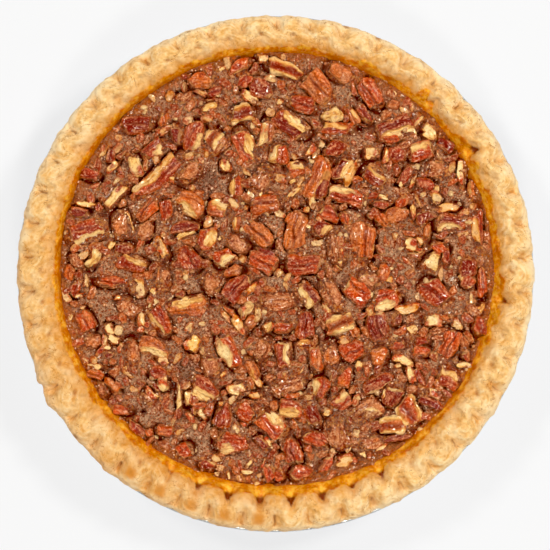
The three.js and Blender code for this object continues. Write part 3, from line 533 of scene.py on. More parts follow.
# Smaller pieces by kind. Cream tones: w white, y yellow, t tan, a amber, g golden.
SMALL_PECANS = {
    "H": [
        (-65, 70.5, 16, 8, 5, "m"), (12.5, 80.5, 15, 8, 345, "r"), (-6.5, 45, 15, 9.5, 48, "c"),
        (0.5, -12.5, 18, 8, 0, "c"), (7, -52.5, 17, 9, 25, "c"), (18, -67, 12.5, 6, 298, "m"),
        (29.5, -75, 18, 10.5, 288, "c"), (55.5, -57.5, 12, 8, 62, "m"),
    ],
    "P": [
        (-57.5, 59, 13, 6.5, 218, "r"), (-26, 60.5, 12, 5, 45, "c"), (-4.5, 67, 15, 6.5, 80, "o"),
        (1.5, 57, 10.5, 9, 85, "b"), (29, 69, 16.5, 5.5, 357, "r"), (36.5, 74.5, 11, 4, 300, "o"),
        (68.5, 58, 13, 8, 20, "b"), (-67.5, 5, 16, 7.5, 345, "r"), (-27, 31, 11, 9, 350, "b"),
        (-32.5, 16.5, 13.5, 8.5, 250, "b"), (-24, 7.5, 11, 8, 215, "b"), (-19, 41.5, 12.5, 5.5, 92, "y"),
        (-18.5, 24, 8.5, 3.8, 88, "o"), (9.5, 50, 10, 7, 10, "b"), (46.5, 46, 14, 8, 320, "m"),
        (21.5, 21.5, 10, 7.5, 232, "m"), (95.5, 21, 19, 5, 93, "a"), (-11, -45, 13, 5, 115, "o"),
        (4, -38, 13, 8, 275, "r"), (13, -33, 9, 4, 8, "r"), (82.5, -49, 13, 9.5, 328, "r"),
        (6.5, -64, 13.5, 8, 172, "b"), (31, -60, 11, 7.5, 36, "w"),
    ],
    "S": [
        (-78, 56.5, 8, 5, 80, "m"), (-53, 73, 8, 5, 80, "o"), (-34.5, 91, 13.5, 7.5, 2, "o"),
        (-16.5, 98, 13, 6, 30, "b"), (-15, 91.5, 9, 6, 60, "b"), (-7, 88, 12, 9, 330, "m"),
        (-30, 82.5, 6, 2, 0, "m"), (-29, 86, 9, 4.5, 15, "m"), (-46.5, 66, 10, 6, 100, "m"),
        (-43.5, 83.5, 11, 5, 10, "c"), (30, 95, 14, 8.5, 330, "o"), (28, 59, 12, 7.5, 30, "r"),
        (42, 75, 10, 4.5, 302, "r"), (54, 63.5, 9, 4, 0, "b"), (80, 61, 9, 7, 330, "m"),
        (57.5, 56.5, 9, 7.5, 10, "r"), (-87, 47, 9.5, 6.5, 345, "r"), (-85, 41.5, 6, 3, 20, "r"),
        (-73, 23, 15, 9, 100, "c"), (-61.5, 21, 11.5, 7, 80, "c"), (-93, 29, 10, 5, 0, "m"),
        (-83.5, 31, 6, 4, 300, "r"), (-71.5, 12.5, 9, 5.5, 0, "m"), (-94, 6, 9, 5.5, 310, "c"),
        (-97.5, 1, 8, 5, 80, "o"), (-51.5, 30, 12, 5.5, 90, "b"), (-42.5, 22, 14.5, 5, 8, "m"),
        (-21, 1, 11, 5, 12, "o"), (-17.5, 14, 12, 8, 330, "c"), (-5, 10, 12, 4, 332, "r"),
        (-40.5, 48, 13, 9, 30, "c"), (21.5, 41, 13, 6.5, 68, "m"), (37.5, 44.5, 6.5, 4, 20, "o"),
        (25.5, 28.5, 12, 7, 340, "b"), (32.5, 26.5, 7, 4, 295, "b"), (7, 26.5, 7, 3.5, 60, "o"),
        (46, 37.5, 6, 3.5, 15, "r"), (49.5, 33, 9, 3.5, 345, "r"), (59.5, 34, 7, 5.5, 90, "b"),
        (56.5, 28, 13, 7.5, 20, "o"), (50.5, 25.5, 9, 5, 310, "o"), (61.5, 47, 11, 5, 50, "r"),
        (76.5, 49.5, 11, 9, 350, "c"), (70.5, 42, 10, 6, 350, "r"), (69, 26.5, 8.5, 6, 85, "m"),
        (67.5, 10.8, 6, 3, 345, "b"), (77.5, 12.5, 9, 5.5, 340, "b"), (80.5, 8, 8, 4.5, 290, "r"),
        (91, 3, 11, 9, 80, "m"), (92.5, 40.5, 10, 3, 90, "o"), (72, 20, 9, 3.5, 85, "o"),
        (-94.5, -7, 9, 3.5, 75, "r"), (-53.5, -2.5, 13, 8, 95, "c"), (-89.5, -22, 11.5, 8, 300, "b"),
        (-69.5, -15.5, 12.5, 8, 315, "c"), (-61, -24, 3, 3, 0, "b"), (-78.5, -38, 5, 3.5, 0, "m"),
        (-68, -37, 14, 6.5, 97, "c"), (-55, -47, 10, 6, 345, "r"), (-85, -47, 9, 4.5, 350, "o"),
        (-86.5, -32, 8, 7, 0, "c"), (-11.5, -22.5, 7, 5.5, 45, "o"), (-22.5, -17, 8, 3, 330, "b"),
        (-31, -43.5, 12.5, 8, 285, "c"), (3.5, -25, 9, 6.5, 0, "b"), (26, -9.5, 17, 8.5, 295, "c"),
        (44, -2.5, 11, 8, 340, "c"), (37.5, -27, 8, 4, 300, "o"), (32.5, -49.5, 11, 7.5, 75, "b"),
        (26, -38, 14, 8, 92, "c"), (49, -38.5, 10, 9, 0, "o"), (51, 1, 9, 6, 70, "b"),
        (57, -21.5, 7, 4.5, 90, "m"), (80, -20, 5, 4, 340, "o"), (57.5, -33.3, 8, 4.5, 8, "b"),
        (69, -36.5, 9, 6, 357, "b"), (69, -31.3, 8.5, 4, 5, "r"), (67.5, -48, 11, 3, 302, "r"),
        (64.5, -54, 6, 5, 0, "c"), (90, -38, 6, 4.5, 80, "r"), (96, -25, 9.5, 6.5, 95, "a"),
        (93, -17, 8, 5, 320, "c"), (91, -3, 8, 6, 60, "r"), (97.5, -3, 15, 4.5, 92, "a"),
        (77, -27, 11, 4, 8, "c"), (-77, -53, 11, 4, 310, "o"), (-81.5, -55, 9, 5, 290, "c"),
        (-72.5, -64, 10, 5.5, 352, "b"), (-60.5, -58.5, 8, 5, 320, "c"), (-55.5, -54, 6, 3.5, 330, "m"),
        (-65.5, -73.5, 14, 4.5, 315, "m"), (-52, -74, 10, 5.5, 0, "b"), (-60, -75, 5, 4, 300, "o"),
        (-35.5, -62, 10, 3, 5, "o"), (-38.5, -65, 5, 3, 280, "m"), (-12.5, -60.5, 9, 3, 0, "c"),
        (-14.5, -65.5, 11.5, 8, 310, "b"), (-43, -83.5, 9.5, 7.5, 30, "b"), (-32, -90, 9, 6.5, 340, "r"),
        (-12.5, -96.7, 5, 3, 10, "b"), (-3, -94, 9, 6, 290, "a"), (2, -95.5, 5, 5, 0, "a"),
        (-6, -80, 9, 5, 315, "m"), (-0.5, -62.5, 5, 4, 90, "o"), (1, -55, 7, 7, 0, "c"),
        (-3, -49.5, 6, 5, 0, "c"), (8, -57.3, 9, 3, 5, "o"), (18.5, -78, 12, 7, 335, "r"),
        (36, -55, 5, 3.5, 80, "o"), (12, -93.5, 11.5, 7.5, 20, "r"), (24, -89.5, 10, 4.5, 48, "b"),
        (35.5, -87, 3, 2.5, 0, "r"), (46, -79.5, 12.5, 6.5, 20, "c"), (73, -60.5, 14, 4.5, 332, "m"),
        (57.5, -77, 17, 3.5, 12, "m"),
    ],
    "C": [
        (-25.5, 97, 4, 2, 15, "w"), (-6, 101.5, 6, 5, 0, "t"), (-12.5, 83.5, 10.5, 5, 320, "y"),
        (-31, 79, 10, 3.5, 20, "y"), (2, 81, 3.5, 3, 80, "t"), (16.5, 58, 8, 3.5, 50, "a"),
        (67.5, 72.5, 8, 2.5, 50, "w"), (72.5, 67, 9.5, 7, 325, "y"), (52, 55.5, 9, 3, 80, "t"),
        (45, 57, 8, 6, 0, "t"), (-77, 50.5, 8, 3.5, 50, "y"), (-75.5, 36.5, 17, 6, 52, "y"),
        (-69.5, 25, 13, 3, 110, "t"), (-89.5, 33, 10, 3, 350, "y"), (-77.5, 13.5, 5.5, 3, 60, "y"),
        (-54, 12, 12, 6.5, 300, "a"), (-43, 18.5, 11, 2.5, 25, "y"), (-23.5, 51.5, 6.5, 5.5, 100, "y"),
        (-7, 38, 3, 2, 60, "w"), (-2.5, 38.5, 4, 1.5, 0, "w"), (-26, 17, 3, 2, 70, "w"),
        (-49, 44.5, 4, 2.5, 90, "t"), (11.5, 43.5, 7, 3, 70, "a"), (8.5, 38.5, 8, 2.5, 45, "t"),
        (8.3, 43.5, 4, 2.5, 10, "y"), (17.5, 34, 7, 4.5, 110, "y"), (41.5, 41.5, 4.5, 1.5, 355, "w"),
        (20.5, 26, 3.5, 2.5, 320, "w"), (15.5, 22.5, 3, 2, 330, "w"), (31, 8, 9, 3.5, 75, "y"),
        (31.5, 14, 4, 2, 0, "w"), (45.5, 15, 16, 3.5, 85, "t"), (51, 36, 6, 2.3, 340, "w"),
        (15, 30.5, 4, 3, 0, "t"), (59.5, 43.5, 4.5, 3, 80, "y"), (65, 44.5, 11.5, 2, 72, "y"),
        (76, 40.5, 5, 3, 75, "y"), (76, 36, 6, 6, 0, "t"), (81, 31.5, 11, 4.5, 5, "a"),
        (67.5, 34.5, 8, 2, 298, "y"), (65.2, 29.2, 8.5, 2.5, 92, "y"), (64, 14, 8, 6, 335, "y"),
        (68, 15.8, 5, 3, 310, "t"), (73.5, 5.5, 12, 8, 35, "y"), (87.5, 47.5, 12, 3.5, 95, "w"),
        (-92.5, -10.3, 5, 2, 15, "w"), (-65, -6.5, 9.5, 8.5, 350, "t"), (-57.5, -8, 3.5, 3.5, 20, "y"),
        (-91, -15.5, 3, 2.5, 0, "a"), (-78.5, -25.5, 6, 5, 315, "w"), (-76.5, -30.5, 6.5, 4.5, 330, "w"),
        (-74.5, -11, 3.5, 3, 0, "t"), (-63.5, -21, 8, 4, 90, "t"), (-64, -26.5, 4, 3, 0, "w"),
        (-82.5, -36, 7, 2.5, 50, "y"), (-79.3, -35, 4, 2, 350, "w"), (-53, -41, 7, 4.5, 350, "a"),
        (-71, -44.5, 4, 2.5, 90, "a"), (-85.5, -43.5, 10, 2.8, 355, "y"),
        (-94.5, -34, 3.5, 1.5, 290, "t"), (-11, -6.5, 9, 3, 35, "a"), (-17.5, -23.5, 12, 4.5, 310, "a"),
        (-38.5, -33, 8.5, 7.5, 50, "g"), (-8, -41, 3, 1, 350, "w"), (-3, -24.5, 6.5, 4.5, 50, "y"),
        (-25, -47.5, 4, 2.5, 60, "t"), (24, -16, 7, 2.5, 315, "t"), (39.3, -44, 5.5, 4, 60, "y"),
        (23.5, -38.5, 7, 2.3, 92, "y"), (53, -2.5, 4.5, 3.2, 0, "a"), (62, -16.5, 12, 5, 8, "a"),
        (64, -26, 6.5, 4.5, 345, "t"), (75, -22, 10.5, 6, 355, "w"), (60, -40.5, 11, 4.5, 345, "y"),
        (58, -43, 3.5, 3, 0, "y"), (64, -47.5, 10, 4, 290, "w"), (89, -42.5, 9, 3.5, 345, "y"),
        (97, -16, 7, 3.5, 55, "t"), (87.5, -1.5, 3.5, 3, 90, "t"), (91.5, -6, 3, 1.5, 0, "w"),
        (-58.5, -56.5, 9, 3, 322, "y"), (-45.5, -58, 12.5, 3, 92, "y"), (-41.5, -58.5, 8, 3, 85, "y"),
        (-35, -66, 6.5, 3.5, 315, "w"), (-40.5, -67.5, 7, 3, 310, "w"), (-18, -54, 9.5, 6.5, 25, "y"),
        (-9.5, -57.3, 7, 3.5, 355, "a"), (-26, -61, 3, 2.5, 0, "a"), (-15, -71, 4, 2, 350, "y"),
        (-8.5, -50.5, 8, 3, 310, "a"), (-24, -81.5, 4.5, 2.5, 345, "t"), (-28.3, -87, 6, 3.5, 310, "t"),
        (-27.7, -94.2, 3, 2, 0, "w"), (-22, -94.8, 4, 2.8, 100, "w"), (-17, -96.5, 4, 2.3, 110, "t"),
        (-12.5, -89.8, 6.5, 1.8, 50, "w"), (-13, -93.5, 7.5, 2.5, 355, "w"),
        (-8.5, -98.8, 4, 1.5, 10, "w"), (-6, -89.5, 6, 1.2, 62, "w"), (-3.3, -78.8, 6, 2.2, 312, "y"),
        (15, -67.5, 9, 2, 290, "t"), (32.5, -88, 10, 6, 10, "t"), (37.5, -88, 3, 2.8, 0, "w"),
        (41.3, -85, 4, 3, 80, "w"), (34.5, -82.5, 5, 3, 60, "y"), (49.5, -82, 8, 2, 35, "t"),
        (24.5, -65, 4, 3, 0, "t"), (51.5, -57, 6, 2.5, 70, "t"), (75.5, -56.5, 8, 5, 325, "w"),
    ],
    "K": [
        (-66.5, 51.5, 11, 6.5, 100, "y"), (27, 75, 10, 7.5, 20, "y"), (-86, 7, 10.5, 5.5, 60, "y"),
        (35.5, 48, 14, 4, 60, "a"), (-14, -17, 9, 5.5, 45, "w"), (-53, -51.5, 8, 6, 315, "w"),
    ],
    "B": [
        (4, 96.5, 20, 7, 340, "r"), (-29.5, 64.5, 10, 8, 60, "o"), (55, -71.5, 13, 8, 5, "o"),
    ],
}
SKIN_TONES = {"m": 0.0, "r": 0.25, "b": 0.5, "o": 0.75, "c": 1.0}
CREAM_TONES = {"w": 0.0, "y": 0.25, "t": 0.5, "a": 0.75, "g": 1.0}


def custard_level(x, y):
    """Height of the custard's even surface, which is slightly domed."""
    out = np.hypot(x - RING_CENTRE[0], y - RING_CENTRE[1]) / FILL_RADIUS
    return FILL_HEIGHT + FILL_DOME * (1 - out * out)


def ball(fineness):
    """Directions and faces of an even ball of triangles."""
    shape = bmesh.new()
    bmesh.ops.create_icosphere(shape, subdivisions=fineness, radius=1.0)
    points = np.array([v.co for v in shape.verts])
    faces = np.array([[v.index for v in f.verts] for f in shape.faces])
    shape.free()
    return points / np.linalg.norm(points, axis=1, keepdims=True), faces


def cut_off(place, direction, distance):
    """Flattens what sticks out past a plane onto it. Returns the points and how far each had stuck out."""
    direction = np.array(direction) / np.linalg.norm(direction)
    beyond = place @ direction - distance
    pushed = 0.5 * (beyond + np.sqrt(beyond ** 2 + BREAK_SOFTNESS ** 2))
    return place - np.outer(pushed, direction), beyond


def turn_points(place, angle, first, second):
    """Turns points in the plane of two axes, from the first towards the second."""
    matrix = np.eye(3)
    matrix[first, first] = matrix[second, second] = math.cos(angle)
    matrix[first, second], matrix[second, first] = math.sin(angle), -math.sin(angle)
    return place @ matrix


def pecan_shape(row, kind, ball_points, seed):
    """One piece of pecan, as points in mm and marks for its material."""
    x, y, length, width, turn, tone = row
    random = np.random.default_rng(seed)
    a, b = 0.52 * length, 0.54 * width
    c = min(THICKEST_PECAN, 0.42 * width + 1.0) * random.uniform(0.9, 1.1)
    shift = np.array([13.1, 7.7, 3.3]) * seed
    has_cream_face = kind in "CK"
    is_cream = tone in CREAM_TONES
    is_coated = tone == "c"

    def own(size, number, octaves=1, stretch=1.0):
        """Lumps that only this piece has, drawn out where stretch is small."""
        return lumps(place * stretch + shift, size, seed + number, octaves)

    # A rounded block, tapered, bent along its length, dented and bitten.
    u, v, w = ball_points.T
    power = random.uniform(2.5, 4.0)
    flat = (np.abs(u) ** power + np.abs(v) ** power) ** (2.1 / power)
    place = ball_points * ((flat + np.abs(w) ** 2.1) ** (-1 / 2.1))[:, None] * [a, b, c]
    place[:, 1] *= 1 - random.uniform(-0.28, 0.28) * place[:, 0] / a
    place[:, 1] += random.uniform(-0.09, 0.09) * length * ((place[:, 0] / a) ** 2 - 0.35)
    dent_size = max(2.2, 0.5 * width)
    uneven = [lumps(place + shift + 50 * k, dent_size, seed + k, 2) for k in range(3)]
    place += np.stack(uneven, axis=1) * [0.15 * width, 0.15 * width, 0.6]
    for _ in range(4 if has_cream_face else 2):
        turned = (np.arctan2(v, u) - random.uniform(-math.pi, math.pi) + math.pi) % (2 * math.pi) - math.pi
        deepest = 0.4 if has_cream_face else 0.22
        place[:, :2] *= (1 - random.uniform(0.02, deepest) * np.exp(-(turned / 0.35) ** 2))[:, None]

    # Furrows of the skin side: a deep one and two shallow ones down a half, one down a split piece.
    side = place[:, 1] / b
    furrow = np.zeros(len(u))
    tracks = {"H": [(random.uniform(-0.15, 0.15), 1.0), (-0.52, random.uniform(0.1, 0.6)),
                    (0.52, random.uniform(0.1, 0.6))],
              "P": [(-0.42, 0.7)], "S": [(random.uniform(-0.3, 0.3), random.uniform(0.1, 0.9))],
              "B": [(0.0, 1.0)], "C": [], "K": []}[kind]
    middle = 1 - np.clip(np.abs(place[:, 0]) / a, 0, 1) ** 4
    for track, strength in tracks:
        swerve = track + 0.22 * own(length * 0.3, 2, stretch=[1, 0, 0])
        wide = 1.5 if kind == "B" else random.uniform(0.4, 0.75)
        line = np.exp(-((side - swerve) * b / wide) ** 2) * middle * smooth_step(0.0, 0.4, w)
        furrow = np.maximum(furrow, line * strength)
    place[:, 2] -= furrow * 1.3

    # Broken faces, each an uneven plane given by its outward direction, distance and how much cream shows.
    cuts = []
    if kind == "P":
        lean = random.uniform(-0.15, 0.15)
        cuts.append(((lean, 0.5, 0.86), random.uniform(0.76, 0.98) * c - 0.05 * b, 1.0))
    if kind == "C":
        lean, tilt = random.uniform(-0.25, 0.25), random.uniform(-0.3, 0.3)
        cuts.append(((lean, tilt, 1.0), random.uniform(0.3, 0.6) * c, 1.0))
    for corner in range({"H": 3, "P": 3, "S": 5, "C": 5, "K": 2, "B": 2}[kind]):
        way = random.uniform(0, 2 * math.pi)
        if kind in "HPB":
            way = (corner % 2) * math.pi + random.uniform(-0.6, 0.6)
        support = math.hypot(a * math.cos(way), b * math.sin(way))
        cuts.append(((math.cos(way), math.sin(way), random.uniform(-0.1, 0.45)),
                     random.uniform(0.64, 0.96) * support, random.choice([0.2, 0.35, 0.8])))
    streak = own(1.0, 11, 2, [0.28, 1.2, 1.2])
    cracks = smooth_step(0.22, 0.0, np.abs(own(2.2, 13, stretch=[0.22, 1, 1])))
    broken, inside = np.zeros(len(u)), np.zeros(len(u))
    for direction, distance, weight in cuts:
        rough = 0.5 * own(2.4, 5) + 0.22 * own(1.0, 6)
        rough += 0.55 * own(5.0, 10)
        place, beyond = cut_off(place, direction, distance + rough)
        broken = np.maximum(broken, weight * smooth_step(-0.12, 0.12, beyond))
        inside = np.maximum(inside, beyond)
    if kind == "K":
        broken[:] = 1.0
        inside = 0.9 + 0.9 * own(2.2, 7)
        place += ball_points * (0.5 * own(2.2, 7))[:, None]
    if kind == "B":
        beside = np.abs(side) + 0.25 * own(2.2, 8)
        broken = np.maximum(broken, smooth_step(0.35, 0.6, beside))
        inside = np.maximum(inside, 3 * (beside - 0.45))
    if has_cream_face:
        broken *= smooth_step(-0.6, -0.2, own(3.2, 9))
    wrinkles = own(1.5, 3, 2, [0.4, 1.6, 1.6])
    crumble = own(1.5, 4, 2, [0.5, 1, 1])
    rise = (1 - broken) * 0.42 * wrinkles + broken * (0.42 * crumble - 0.4 * cracks)
    place += ball_points * rise[:, None]
    mottle = own(max(3.0, 0.3 * length), 12, 2, [0.6, 1, 1])

    # Rolled, pitched and turned into place, where the custard wets its foot.
    roll, pitch = random.uniform(-0.22, 0.22), random.uniform(-0.12, 0.12)
    place = turn_points(place, roll, 1, 2)
    place = turn_points(place, pitch, 0, 2)
    place = turn_points(place, math.radians(turn), 0, 1)
    level = custard_level(x, y)
    float_up = random.uniform(-0.35, 0.35) - 0.1 + (0.6 if has_cream_face else 0) - (0.7 if is_coated else 0)
    place += [x, y, level + float_up]
    wet = 0.7 + 1.1 * lumps(place, 3.2, 61, 2) + (1.4 if is_coated else 0)
    skin_tone = (0.4 if is_cream else SKIN_TONES[tone]) + random.uniform(-0.1, 0.1)
    cream_tone = CREAM_TONES[tone] if is_cream else random.choice([0.0, 0.12, 0.25, 0.4, 0.55])
    # painted_glow is a painted orange glow on the sides and underside, as if lit through the glaze.
    return place, {
        "broken": broken, "furrow": furrow, "painted_glow": smooth_step(0.8, 0.25, w),
        "film": smooth_step(wet + 0.35, wet - 0.35, place[:, 2] - level),
        "inside": np.clip(inside / 1.8 + 0.3 * crumble + 0.3 * streak - 0.4 * cracks, 0, 1),
        "skin_tone": skin_tone + 0.3 * mottle + 0.12 * streak, "streak": 0.5 + 0.5 * streak,
        "cream_tone": np.full(len(u), cream_tone)}


def join_pecans(shapes, ball_faces):
    """Points, faces and marks of many pieces as one mesh."""
    points = np.concatenate([place for place, _ in shapes])
    faces = np.concatenate([ball_faces + i * len(place) for i, (place, _) in enumerate(shapes)])
    marks = {key: np.concatenate([m[key] for _, m in shapes]) for key in shapes[0][1]}
    return points, faces, marks


def pecan_material():
    """Glazed pecan. The skin is glossy, with painted shade in its furrows, a painted orange glow on its
    sides and underside as if lit through the glaze, and painted glints. The broken face is cream and
    waxy, orange at its edge from glaze and painted shade, with painted shade in its cracks and a painted
    highlight at its middle, and custard has dried in a dull film on what lay deepest."""
    material, tree, shader = new_material("Pecan, glazed")
    mark = read_marks(tree, "broken", "furrow", "film", "painted_glow", "skin_tone", "cream_tone", "inside",
                      "streak")
    patches = speckle(tree, 2.6, detail=4, roughness=0.6)
    grain = speckle(tree, 1.1, detail=3, roughness=0.65)
    # Skin: the glow layer is painted light, pale grain specks are painted glints, furrows painted shade.
    skin = paint(
        tree, (mark["skin_tone"], [(0.0, "821B12"), (0.25, "AA3A20"), (0.5, "D2501E"), (0.75, "DC762E"),
                                   (1.0, "CC865C")]),
        (mark["painted_glow"], 0.6, "D0640A"), (speckle(tree, 4.5, detail=3), 0.52, 0.66, 0.55, "9A5048"),
        (patches, 0.5, 0.3, 0.75, "801C00"), (mark["streak"], 0.5, 0.8, 0.7, "E8A27C"),
        (grain, 0.48, 0.32, 0.8, "701000"), (grain, 0.54, 0.68, 0.75, "F4BEA4"),
        (mark["furrow"], 0.8, "6C1000"))
    # Broken face: edge orange from glaze and painted shade, cracks painted shade, middle painted highlight.
    cream = paint(
        tree, (mark["cream_tone"], [(0.0, "FAE0B0"), (0.25, "F2C884"), (0.5, "DCA060"), (0.75, "DC8428"),
                                    (1.0, "F8B82C")]),
        (0.55, (mark["inside"], [(0.0, "A04A10"), (0.16, "E09C48"), (0.38, "FCDC9E"), (0.9, "FFF2CE")])),
        (grain, 0.47, 0.3, 0.75, "B4661E"))
    surface = paint(
        tree, skin, (mark["broken"], cream),
        (mark["film"], 0.85, (grain, [(0.34, "7A2004"), (0.5, "A85E38"), (0.68, "EABE9E")])))
    rough = add(tree, "ShaderNodeMapRange", {"Value": grain, "To Min": 0.2, "To Max": 0.5})
    feed(tree, shader, {
        "Base Color": surface, "Roughness": rough.outputs["Result"], "Specular IOR Level": 0.03,
        "Coat Weight": 0.8, "Coat Roughness": 0.08, "Coat Tint": (1.0, 0.86, 0.68, 1.0),
        "Normal": relief(tree, patches, grain, 1.0, 0.6)})
    return material


pecan_glazed = pecan_material()
fine_ball, fine_faces = ball(5)
middle_ball, middle_faces = ball(4)
plain_ball, plain_faces = ball(3)
for number, (x, y, length, width, turn, kind, tone) in enumerate(LARGE_PECANS, 1):
    points, marks = pecan_shape((x, y, length, width, turn, tone), kind, fine_ball, number)
    whole = make_piece(f"pecan_large_{number:02d}", points, fine_faces, pecan_glazed, marks)
    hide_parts(f"pecan_{number:02d}")

# Every piece has a seed of its own, so that one can be changed without changing the others.
SMALL_NAMES = {"H": "pecan_halves", "P": "pecan_split", "S": "pecan_skin_up", "C": "pecan_cream_up",
               "K": "pecan_curls", "B": "pecan_backs"}
for kind, rows in SMALL_PECANS.items():
    shapes = [pecan_shape(row, kind, middle_ball, 100 + 211 * ord(kind) + i) for i, row in enumerate(rows)]
    points, faces, marks = join_pecans(shapes, middle_faces)
    make_piece(SMALL_NAMES[kind], points, faces, pecan_glazed, marks)

# Shreds of pecan strewn between the pieces, lying deep and mostly coated.
SHRED_COUNT = 400
SHRED_REACH = 100.5
SHRED_GAP = 1.1
SHRED_SINK = 0.4
SHRED_LENGTHS = (3.5, 8.5)
SHRED_WIDTHS = (2.4, 4.6)
SHRED_TONES = list("rrrobmmmcccowyta")
# Places with no nuts at all, as x, y and radius.
OPEN_CUSTARD = [(-30, 46, 9), (-82, -13, 6), (-58, -66, 6), (-35, -78, 6), (32, 84, 6), (86, 36, 6),
                (57, 12, 6)]
random = np.random.default_rng(31)
placed = [row[:5] for row in LARGE_PECANS] + [row[:5] for rows in SMALL_PECANS.values() for row in rows]
centres = np.array([row[:2] for row in placed])
halves = np.array([max(row[2], row[3]) * 0.5 for row in placed])
thin = np.array([min(row[2], row[3]) * 0.5 for row in placed])
turns = np.radians([row[4] for row in placed])
shreds = []
while len(shreds) < SHRED_COUNT:
    out, way = SHRED_REACH * math.sqrt(random.random()), random.uniform(0, 2 * math.pi)
    spot = RING_CENTRE + [out * math.cos(way), out * math.sin(way)]
    gap = spot - centres
    along = np.abs(gap[:, 0] * np.cos(turns) + gap[:, 1] * np.sin(turns)) / (halves + SHRED_GAP)
    across = np.abs(-gap[:, 0] * np.sin(turns) + gap[:, 1] * np.cos(turns)) / (thin + SHRED_GAP)
    clear = all(math.dist(spot, hole[:2]) > hole[2] for hole in OPEN_CUSTARD)
    if clear and (along ** 2.5 + across ** 2.5 > 1).all():
        length, width = random.uniform(*SHRED_LENGTHS), random.uniform(*SHRED_WIDTHS)
        turn, tone = random.uniform(0, 360), random.choice(SHRED_TONES)
        shreds.append((spot[0], spot[1], length, width, turn, tone))
        centres, turns = np.vstack([centres, spot]), np.append(turns, math.radians(turn))
        halves, thin = np.append(halves, length / 2), np.append(thin, width / 2)
shapes = [pecan_shape(row, "S" if row[5] in SKIN_TONES else "C", plain_ball, 9000 + i)
          for i, row in enumerate(shreds)]
points, faces, marks = join_pecans(shapes, plain_faces)
points[:, 2] -= SHRED_SINK
marks["film"] = np.clip(marks["film"] + 0.45, 0, 1)
make_piece("pecan_shreds", points, faces, pecan_glazed, marks)

# ---- Custard -------------------------------------------------------------------------------------
# A set custard of eggs, syrup and butter. It boiled round the nuts, so its skin is bubbly and brown,
# climbs against each piece, and has shrunk from some of them and left clefts, painted dark as shade.

CUSTARD_REACH = 103.3
CUSTARD_CELL = 0.6
CLEFT_DEPTH = 3.2
# Clefts where it shrank from a nut: place, length, width, direction in degrees.
CUSTARD_CLEFTS = [
    (-44, 40.5, 9, 2.2, 328), (-37.5, 37, 5, 1.8, 328), (-13.5, 43, 11, 2.2, 80), (-12.5, 31, 8, 2, 110),
    (-9, 27, 8, 2.2, 335), (-11, 14, 14, 1.8, 318), (-22, 11, 6, 2, 320), (-34, 7, 4, 2.2, 300),
    (5, 14, 9, 2, 85), (-44, -9, 8, 1.8, 8), (-21, -13, 7, 2, 48), (-24, -54, 6, 2, 20),
    (-28, -62, 6, 2, 70), (42, -20, 9, 2, 95), (31, -8, 8, 1.8, 300), (38, -41.5, 8, 1.8, 20),
    (61, -58, 4, 2.6, 0), (69, 7, 5, 2.2, 40), (68, 67, 4, 2.4, 20), (38, 84, 6, 2.4, 305),
    (44, 93, 4, 2.2, 0), (-54.5, -78.5, 3, 2.4, 0), (2, -83, 9, 2, 290), (93, -33, 5, 2.2, 60),
    (-68, -73, 14, 2.2, 312), (57, -72.5, 12, 1.6, 330), (-62.5, -65, 3, 2.4, 20),
    (-69.5, -67, 4, 1.8, 0), (36, 31, 12, 1.6, 345), (24, 62, 6, 2, 330), (-27, 70, 6, 2, 60),
    (-48, 57, 8, 1.8, 45), (77, 62, 5, 2, 20), (84, 30, 6, 1.8, 350), (73, -2, 9, 1.8, 322),
    (56, -6, 8, 1.8, 20), (20, -31, 6, 2, 90), (-12, -28, 6, 1.8, 60),
]
# Froth that burnt a dull grey-brown: place and radius.
BURNT_FROTH = [(-39, -46, 10), (-3, -12, 6), (-34, 42, 9), (-55, 48, 6), (-12, 44, 6), (33, 48, 8),
               (-2, -67, 8), (51, -60, 9), (-68, -17, 6), (-1, -41, 7), (36, 18, 6), (30, -80, 9)]


def along_across(dx, dy, degrees):
    """Offsets along a direction and across it."""
    angle = math.radians(degrees)
    return dx * math.cos(angle) + dy * math.sin(angle), -dx * math.sin(angle) + dy * math.cos(angle)


